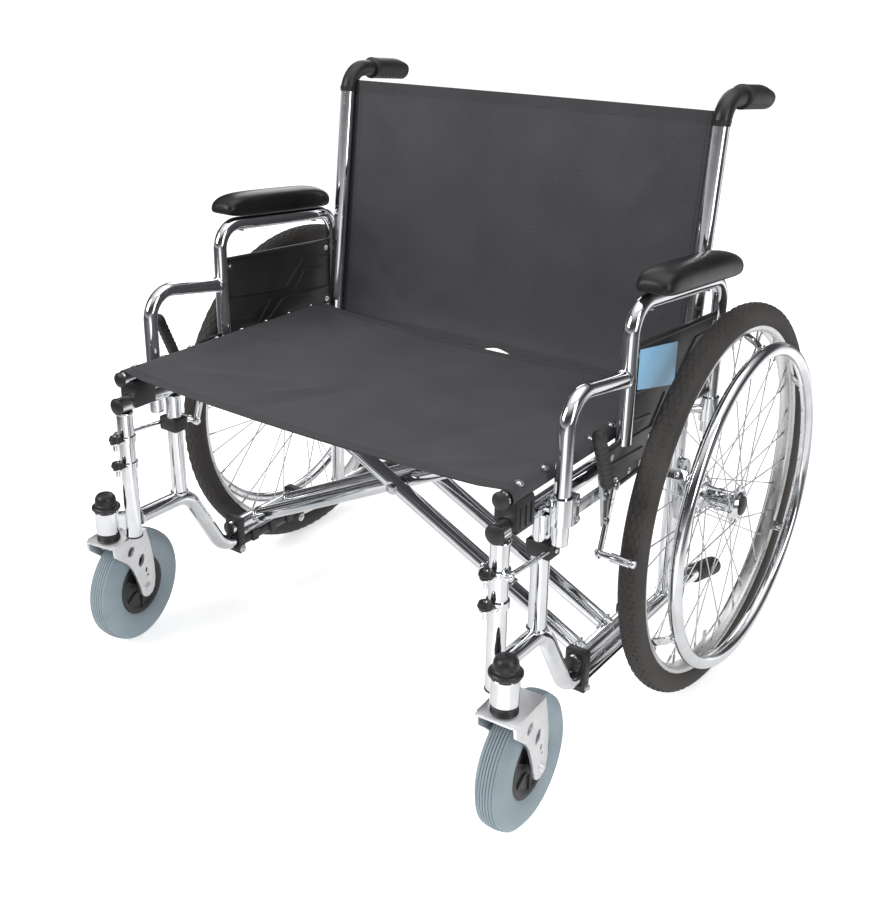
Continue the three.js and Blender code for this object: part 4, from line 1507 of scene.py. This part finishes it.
# %% Brace sleeve, rings and plugs
brace_run = Vector(climb(0, 0)) - Vector(climb(1, 0))
sleeve_at = climb(0.22, -123)
sleeve = turned(
    [(12.9, -22), (15.0, -22), (15.6, -20), (15.6, 20), (15.0, 22), (12.9, 22)], sleeve_at,
    brace_run, 36,
)
finish(sleeve, "brace_sleeve", "brace_a", black_plastic)
rings = [
    turned(
        [(12.9, h), (15.8, h), (16.2, h + 1), (16.2, h + 3.4), (15.8, h + 4.4), (12.9, h + 4.4)],
        sleeve_at, brace_run, 36,
    )
    for h in (-27.4, 23)
]
finish(joined(*rings), "brace_rings", "brace_a", chrome)

for name, body, sign in (("a", "brace_a", 1), ("b", "brace_b", -1)):
    ends = joined(
        end_plug((sign * PIVOT_X, -159.6, PIVOT_Z), (0, -1, 0), TUBE - 1, 2.6),
        end_plug((sign * PIVOT_X, 26.6, PIVOT_Z), (0, 1, 0), TUBE - 1, 2.6),
        end_plug((-sign * FRAME_X, -370.5, SEAT_Z), (0, -1, 0), SMALL_TUBE),
        end_plug((-sign * FRAME_X, 117.5, SEAT_Z), (0, 1, 0), SMALL_TUBE),
    )
    finish(ends, f"brace_plugs_{name}", body, black_plastic, smooth=30)

RAIL_BODY = {"left": "brace_b", "right": "brace_a"}
for side, sign in (("left", 1), ("right", -1)):
    rail = tube((sign * FRAME_X, -370.5, SEAT_Z), (sign * FRAME_X, 117.5, SEAT_Z), SMALL_TUBE)
    finish(rail, f"seat_rail_tube_{side}", RAIL_BODY[side], chrome, [f"seat_rail_{side}"])

# %% [markdown]
# ## Upholstery
# The seat and the back are single sheets of coated nylon, held along two edges by screws. Each starts as
# a flat grid cut to its real size, is laid on its rails, and is then let go in a short Cloth simulation:
# held rows stay put, and the middle settles under its own weight. A few broad creases, which
# years of sitting leave, are pressed in after that by moving vertices.

# %% Sheet helpers
SETTLE_FRAMES = 22
NYLON_CLOTH = {
    "quality": 8,
    "mass": 0.3,
    "tension_stiffness": 160,
    "compression_stiffness": 160,
    "shear_stiffness": 80,
    "bending_stiffness": 8,
    "air_damping": 3,
}


def flat_sheet(width, length, across, along):
    """A grid with a metric UV map, so that one weave fits every sheet."""
    clear()
    bpy.ops.mesh.primitive_grid_add(x_subdivisions=across, y_subdivisions=along, size=1)
    sheet = bpy.context.object
    for corner in sheet.data.uv_layers.active.data:
        corner.uv = (corner.uv.x * width, corner.uv.y * length)
    return sheet


def lay(sheet, place):
    """Moves each vertex from its flat place, -0.5 to 0.5 each way, and returns the flat places."""
    flat = [tuple(vertex.co.xy) for vertex in sheet.data.vertices]
    for vertex, (u, v) in zip(sheet.data.vertices, flat):
        vertex.co = place(u, v)
    sheet.data.update()
    return flat


def let_go(sheet, held, slack, weight, reach):
    """Lets a sheet settle, but moves no point further than reach, in mm."""
    start = [vertex.co.copy() for vertex in sheet.data.vertices]
    group = sheet.vertex_groups.new(name="held")
    group.add([v.index for v in sheet.data.vertices if held(v.co)], 1.0, "REPLACE")
    pick(sheet)
    cloth = sheet.modifiers.new("Cloth", "CLOTH")
    cloth.settings.vertex_group_mass = "held"
    for setting, value in NYLON_CLOTH.items():
        setattr(cloth.settings, setting, value)
    cloth.settings.shrink_min = -slack
    cloth.settings.effector_weights.gravity = weight
    cloth.point_cache.frame_start = 1
    cloth.point_cache.frame_end = SETTLE_FRAMES
    for step in range(1, SETTLE_FRAMES + 1):
        bpy.context.scene.frame_set(step)
    bpy.ops.object.modifier_apply(modifier=cloth.name)
    bpy.context.scene.frame_set(1)
    sheet.vertex_groups.clear()
    moved = 0.0
    for vertex, before in zip(sheet.data.vertices, start):
        step = vertex.co - before
        longest = step.length
        if longest > reach / 1000:
            vertex.co = before + step * (reach / 1000 / longest)
        moved = max(moved, longest)
    print(sheet.name, "settled by up to", round(moved * 1000, 1), "mm before the cap")


def crease(point, start, end, width, depth):
    """How far a broad crease from start to end moves a point, fading out at its ends."""
    run = end - start
    share = (point - start).dot(run) / run.length_squared
    off = (point - start - run * share).length / width
    ends = max(0.0, 1 - (2 * share - 1) ** 2)
    return depth * math.exp(-off * off) * ends


def pressed(sheet, creases, direction):
    for vertex in sheet.data.vertices:
        moved = sum(crease(vertex.co, mm(*a), mm(*b), w / 1000, d / 1000) for a, b, w, d in creases)
        vertex.co += direction * moved
    sheet.data.update()


def strip_of(sheet, flat, inside, thickness):
    """Lifts the faces whose flat places are inside off a sheet, as a hem of their own."""
    pick(sheet)
    bpy.ops.object.duplicate()
    hem = bpy.context.object
    pick(hem)
    edit()
    bpy.ops.mesh.select_all(action="DESELECT")
    bpy.ops.object.mode_set(mode="OBJECT")
    for face in hem.data.polygons:
        face.select = not all(inside(*flat[index]) for index in face.vertices)
    bpy.context.tool_settings.mesh_select_mode = (False, False, True)
    bpy.ops.object.mode_set(mode="EDIT")
    bpy.ops.mesh.delete(type="FACE")
    drop_faces()
    return apply_modifier(hem, "SOLIDIFY", thickness=thickness / 1000, offset=0)


def flat_row(sheet, flat, value, axis):
    """The row of a sheet's points whose flat place along an axis is nearest to value."""
    best = min(flat, key=lambda place: abs(place[axis] - value))[axis]
    row = [k for k, place in enumerate(flat) if abs(place[axis] - best) < 1e-5]
    row.sort(key=lambda k: flat[k][1 - axis])
    return [sheet.data.vertices[k].co.copy() for k in row]


def stitched(line, name):
    """One thread along a line of places: it shows as dashes because it dips under between them."""
    curve = bpy.data.curves.new(name, "CURVE")
    curve.dimensions = "3D"
    curve.bevel_depth = 0.00038
    curve.bevel_resolution = 1
    run = curve.splines.new("POLY")
    run.points.add(len(line) - 1)
    for point, place in zip(run.points, line):
        point.co = (*place, 1)
    thread = bpy.data.objects.new(name, curve)
    bpy.context.scene.collection.objects.link(thread)
    pick(thread)
    bpy.ops.object.convert(target="MESH")
    return bpy.context.object


def dashes(row, lift, normal):
    """Places a thread along a row of surface points, up for three and down for one."""
    line = []
    for before, after in zip(row, row[1:]):
        for k in range(4):
            place = before.lerp(after, k / 4)
            line.append(place + normal * (lift if k else -lift) / 1000)
    return line

# %% [markdown]
# The seat sheet runs from the outer side of one rail, over its top, across, and round the other. Only
# the part between the rails is free.

# %% Seat sheet
SEAT_FRONT, SEAT_REAR = -362, 105
WRAP = 12.4
WRAP_TURN = math.radians(108)
SEAT_SAG = 12
WRAP_LENGTH = WRAP * WRAP_TURN
SEAT_CUT = (2 * WRAP_LENGTH + 2 * FRAME_X + 1) / 1000


def seat_place(u, v):
    """Where a point of the cut sheet lies, wrapped on its rails."""
    along = u * SEAT_CUT * 1000
    past = abs(along) - FRAME_X
    y = SEAT_FRONT + (v + 0.5) * (SEAT_REAR - SEAT_FRONT)
    if past > 0:
        turn = math.pi / 2 - past / WRAP
        x, z = FRAME_X + WRAP * math.cos(turn), SEAT_Z + WRAP * math.sin(turn)
        return mm(math.copysign(x, along), y, z)
    share = along / FRAME_X
    edge_lift = 2.5 * math.exp(-(((v + 0.5) / 0.05) ** 2)) * (1 - share**2)
    return mm(along, y, SEAT_Z + WRAP - SEAT_SAG * (1 - share**2) + edge_lift)


seat_sheet = flat_sheet(SEAT_CUT, (SEAT_REAR - SEAT_FRONT) / 1000, 126, 84)
seat_flat = lay(seat_sheet, seat_place)
let_go(seat_sheet, lambda co: abs(co.x) > 0.337, 0.0006, 0.4, 3.0)
seat_creases = [
    ((-120, -350, 470), (-40, -150, 470), 20, -4.6),
    ((-150, -300, 470), (-60, -180, 470), 9, 3.4),
    ((40, -340, 470), (-10, -60, 470), 26, 3.6),
    ((150, -330, 470), (250, -60, 470), 17, -3.6),
    ((-300, -300, 480), (-120, -210, 470), 15, 3.4),
    ((-330, 60, 480), (-90, -60, 470), 18, -5.0),
    ((-335, 92, 480), (-150, 40, 470), 10, 4.2),
    ((330, 70, 480), (80, -60, 470), 20, -4.4),
    ((-200, 100, 475), (220, 96, 475), 14, -2.6),
    ((190, -355, 475), (330, -250, 480), 12, 3.4),
    ((-330, -120, 480), (-190, -60, 475), 11, -2.8),
    ((335, -170, 480), (180, -110, 475), 11, -3.0),
]
pressed(seat_sheet, seat_creases, Vector((0, 0, 1)))
print("seat cut:", round(SEAT_CUT * 1000), "by", SEAT_REAR - SEAT_FRONT, "mm")

# %% Seat hems, thread and screws
SEAT_LENGTH = SEAT_REAR - SEAT_FRONT
HEM = 20
seat_hem = joined(
    strip_of(seat_sheet, seat_flat, lambda u, v: v < HEM / SEAT_LENGTH - 0.5, 2.4),
    strip_of(seat_sheet, seat_flat, lambda u, v: v > 0.5 - HEM / SEAT_LENGTH, 2.4),
)
seat_thread = joined(
    *[
        stitched(
            dashes(flat_row(seat_sheet, seat_flat, v, 1), 1.5, Vector((0, 0, 1))), "seat_stitches",
        )
        for v in ((HEM - 5) / SEAT_LENGTH - 0.5, 0.5 - (HEM - 5) / SEAT_LENGTH)
    ]
)
apply_modifier(seat_sheet, "SOLIDIFY", thickness=0.0016, offset=0)


def seat_soft(piece, name, material, nodes=()):
    settle(piece, 60)
    piece.name = name
    piece.data.name = name
    piece.data.materials.clear()
    piece.data.materials.append(material)
    if nodes:
        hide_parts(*nodes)
    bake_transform(piece)
    print(name, "bends between brace_a and brace_b")
    return piece


seat_soft(seat_sheet, "seat_sheet", nylon, ["seat_sling"])
seat_soft(seat_hem, "seat_hem", hem_nylon)
thread_grey = grained(
    "thread_grey", (0.055, 0.055, 0.058), (0.085, 0.085, 0.088), (0.7, 0.8), 900.0, 0.00003,
)
seat_soft(seat_thread, "seat_thread", thread_grey)
for side, sign in (("left", 1), ("right", -1)):
    tilt = Vector((sign * 0.34, 0, 0.94))
    heads = []
    for k in range(8):
        y = SEAT_FRONT + 26 + k * 59
        foot = Vector((sign * FRAME_X, y, SEAT_Z)) + tilt * (WRAP + 0.8)
        heads.append(dome_bolt(tuple(foot), tuple(tilt), 4.2, 2.8))
    finish(joined(*heads), f"seat_screws_{side}", RAIL_BODY[side], zinc_steel)

# %% [markdown]
# The back sheet is screwed on behind the two back posts and leans with them.

# %% Back sheet
BACK_LOW, BACK_HIGH = 446, 872
BACK_LEAN = (CANE_TOP[0] - BACK_POST_Y) / (CANE_TOP[1] - LEAN_FROM_Z)
CLOTH_BEHIND = 8.5
BACK_HALF = FRAME_X
BACK_BEND = 328


def back_plane(z):
    return BACK_POST_Y + CLOTH_BEHIND + max(0, z - LEAN_FROM_Z) * BACK_LEAN


def back_place(u, v):
    """Flat between the posts, and curled round behind each of them."""
    z = BACK_LOW + (v + 0.5) * (BACK_HIGH - BACK_LOW)
    along = u * 2 * (BACK_HALF + 5)
    past = max(0, abs(along) - BACK_BEND)
    turn = min(past / 16.0, math.radians(58))
    x = BACK_BEND + 16 * math.sin(turn) if past else abs(along)
    behind = 16 * (1 - math.cos(turn))
    rest = max(0, past - 16 * math.radians(58)) if past else 0
    dip = 5.0 * (1 - (min(abs(along), BACK_BEND) / BACK_BEND) ** 2)
    behind += max(0, z - 854) ** 2 / 80 * min(1, past / 10)
    gap = 9.0 * math.exp(-((along / 26) ** 2)) * math.exp(-(((z - BACK_LOW) / 16) ** 2))
    return mm(math.copysign(x + rest, along), back_plane(z) + behind + dip, z + gap)


back_sheet = flat_sheet(2 * (BACK_HALF + 5) / 1000, (BACK_HIGH - BACK_LOW) / 1000, 120, 74)
back_flat = lay(back_sheet, back_place)
let_go(back_sheet, lambda co: abs(co.x) > 0.322, 0.0008, 0.12, 4.0)
back_creases = [
    ((-330, 150, 640), (-150, 160, 430), 12, 6.5),
    ((-318, 150, 470), (-200, 160, 640), 16, -4.6),
    ((-316, 150, 560), (-230, 165, 720), 12, 3.6),
    ((-250, 150, 450), (-90, 160, 560), 18, -5.0),
    ((315, 150, 470), (205, 160, 650), 16, 6.0),
    ((240, 150, 450), (110, 160, 570), 18, -5.0),
    ((4, 150, 470), (0, 190, 862), 8, 2.6),
    ((-12, 150, 470), (-14, 190, 862), 9, -2.2),
    ((-300, 190, 868), (-180, 180, 700), 18, -4.4),
    ((-210, 190, 868), (-250, 180, 740), 11, 3.2),
    ((310, 190, 860), (190, 180, 690), 20, -4.0),
    ((230, 190, 868), (262, 180, 760), 11, 3.0),
    ((-80, 170, 760), (120, 175, 640), 34, 3.6),
]
pressed(back_sheet, back_creases, Vector((0, 1, 0)))

# %% Back hems, thread and screws
BACK_LENGTH = BACK_HIGH - BACK_LOW
SIDE_HEM = 0.5 - 28 / (2 * (BACK_HALF + 5))
back_hem = joined(
    strip_of(back_sheet, back_flat, lambda u, v: v > 0.5 - HEM / BACK_LENGTH, 2.2),
    strip_of(back_sheet, back_flat, lambda u, v: v < HEM / BACK_LENGTH - 0.5, 2.2),
)
side_strips = strip_of(back_sheet, back_flat, lambda u, v: abs(u) > SIDE_HEM, 2.8)
front_facing = Vector((0, -1, 0))
thread_rows = [flat_row(back_sheet, back_flat, 0.5 - (HEM - 5) / BACK_LENGTH, 1)]
thread_rows += [flat_row(back_sheet, back_flat, sign * SIDE_HEM, 0) for sign in (-1, 1)]
back_thread = joined(
    *[stitched(dashes(row, 1.5, front_facing), "back_stitches") for row in thread_rows]
)
apply_modifier(back_sheet, "SOLIDIFY", thickness=0.0016, offset=0)
for piece, name, material, nodes in (
    (back_sheet, "back_sheet", nylon, ["back_sling"]),
    (back_hem, "back_hem", hem_nylon, []),
    (side_strips, "back_side_strips", strip_nylon, []),
    (back_thread, "back_thread", thread_grey, []),
):
    finish(piece, name, "left_frame", material, nodes, 60)
    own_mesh(piece)
back_screws = []
for z in (470, 564, 658, 752, 846):
    y = BACK_POST_Y + max(0, z - LEAN_FROM_Z) * BACK_LEAN + TUBE + 2.6
    back_screws.append(dome_bolt((FRAME_X, y, z), (0, 1, -0.11), 4.2, 2.8))
both_sides(joined(*back_screws), "back_screws", "{}_frame", zinc_steel)
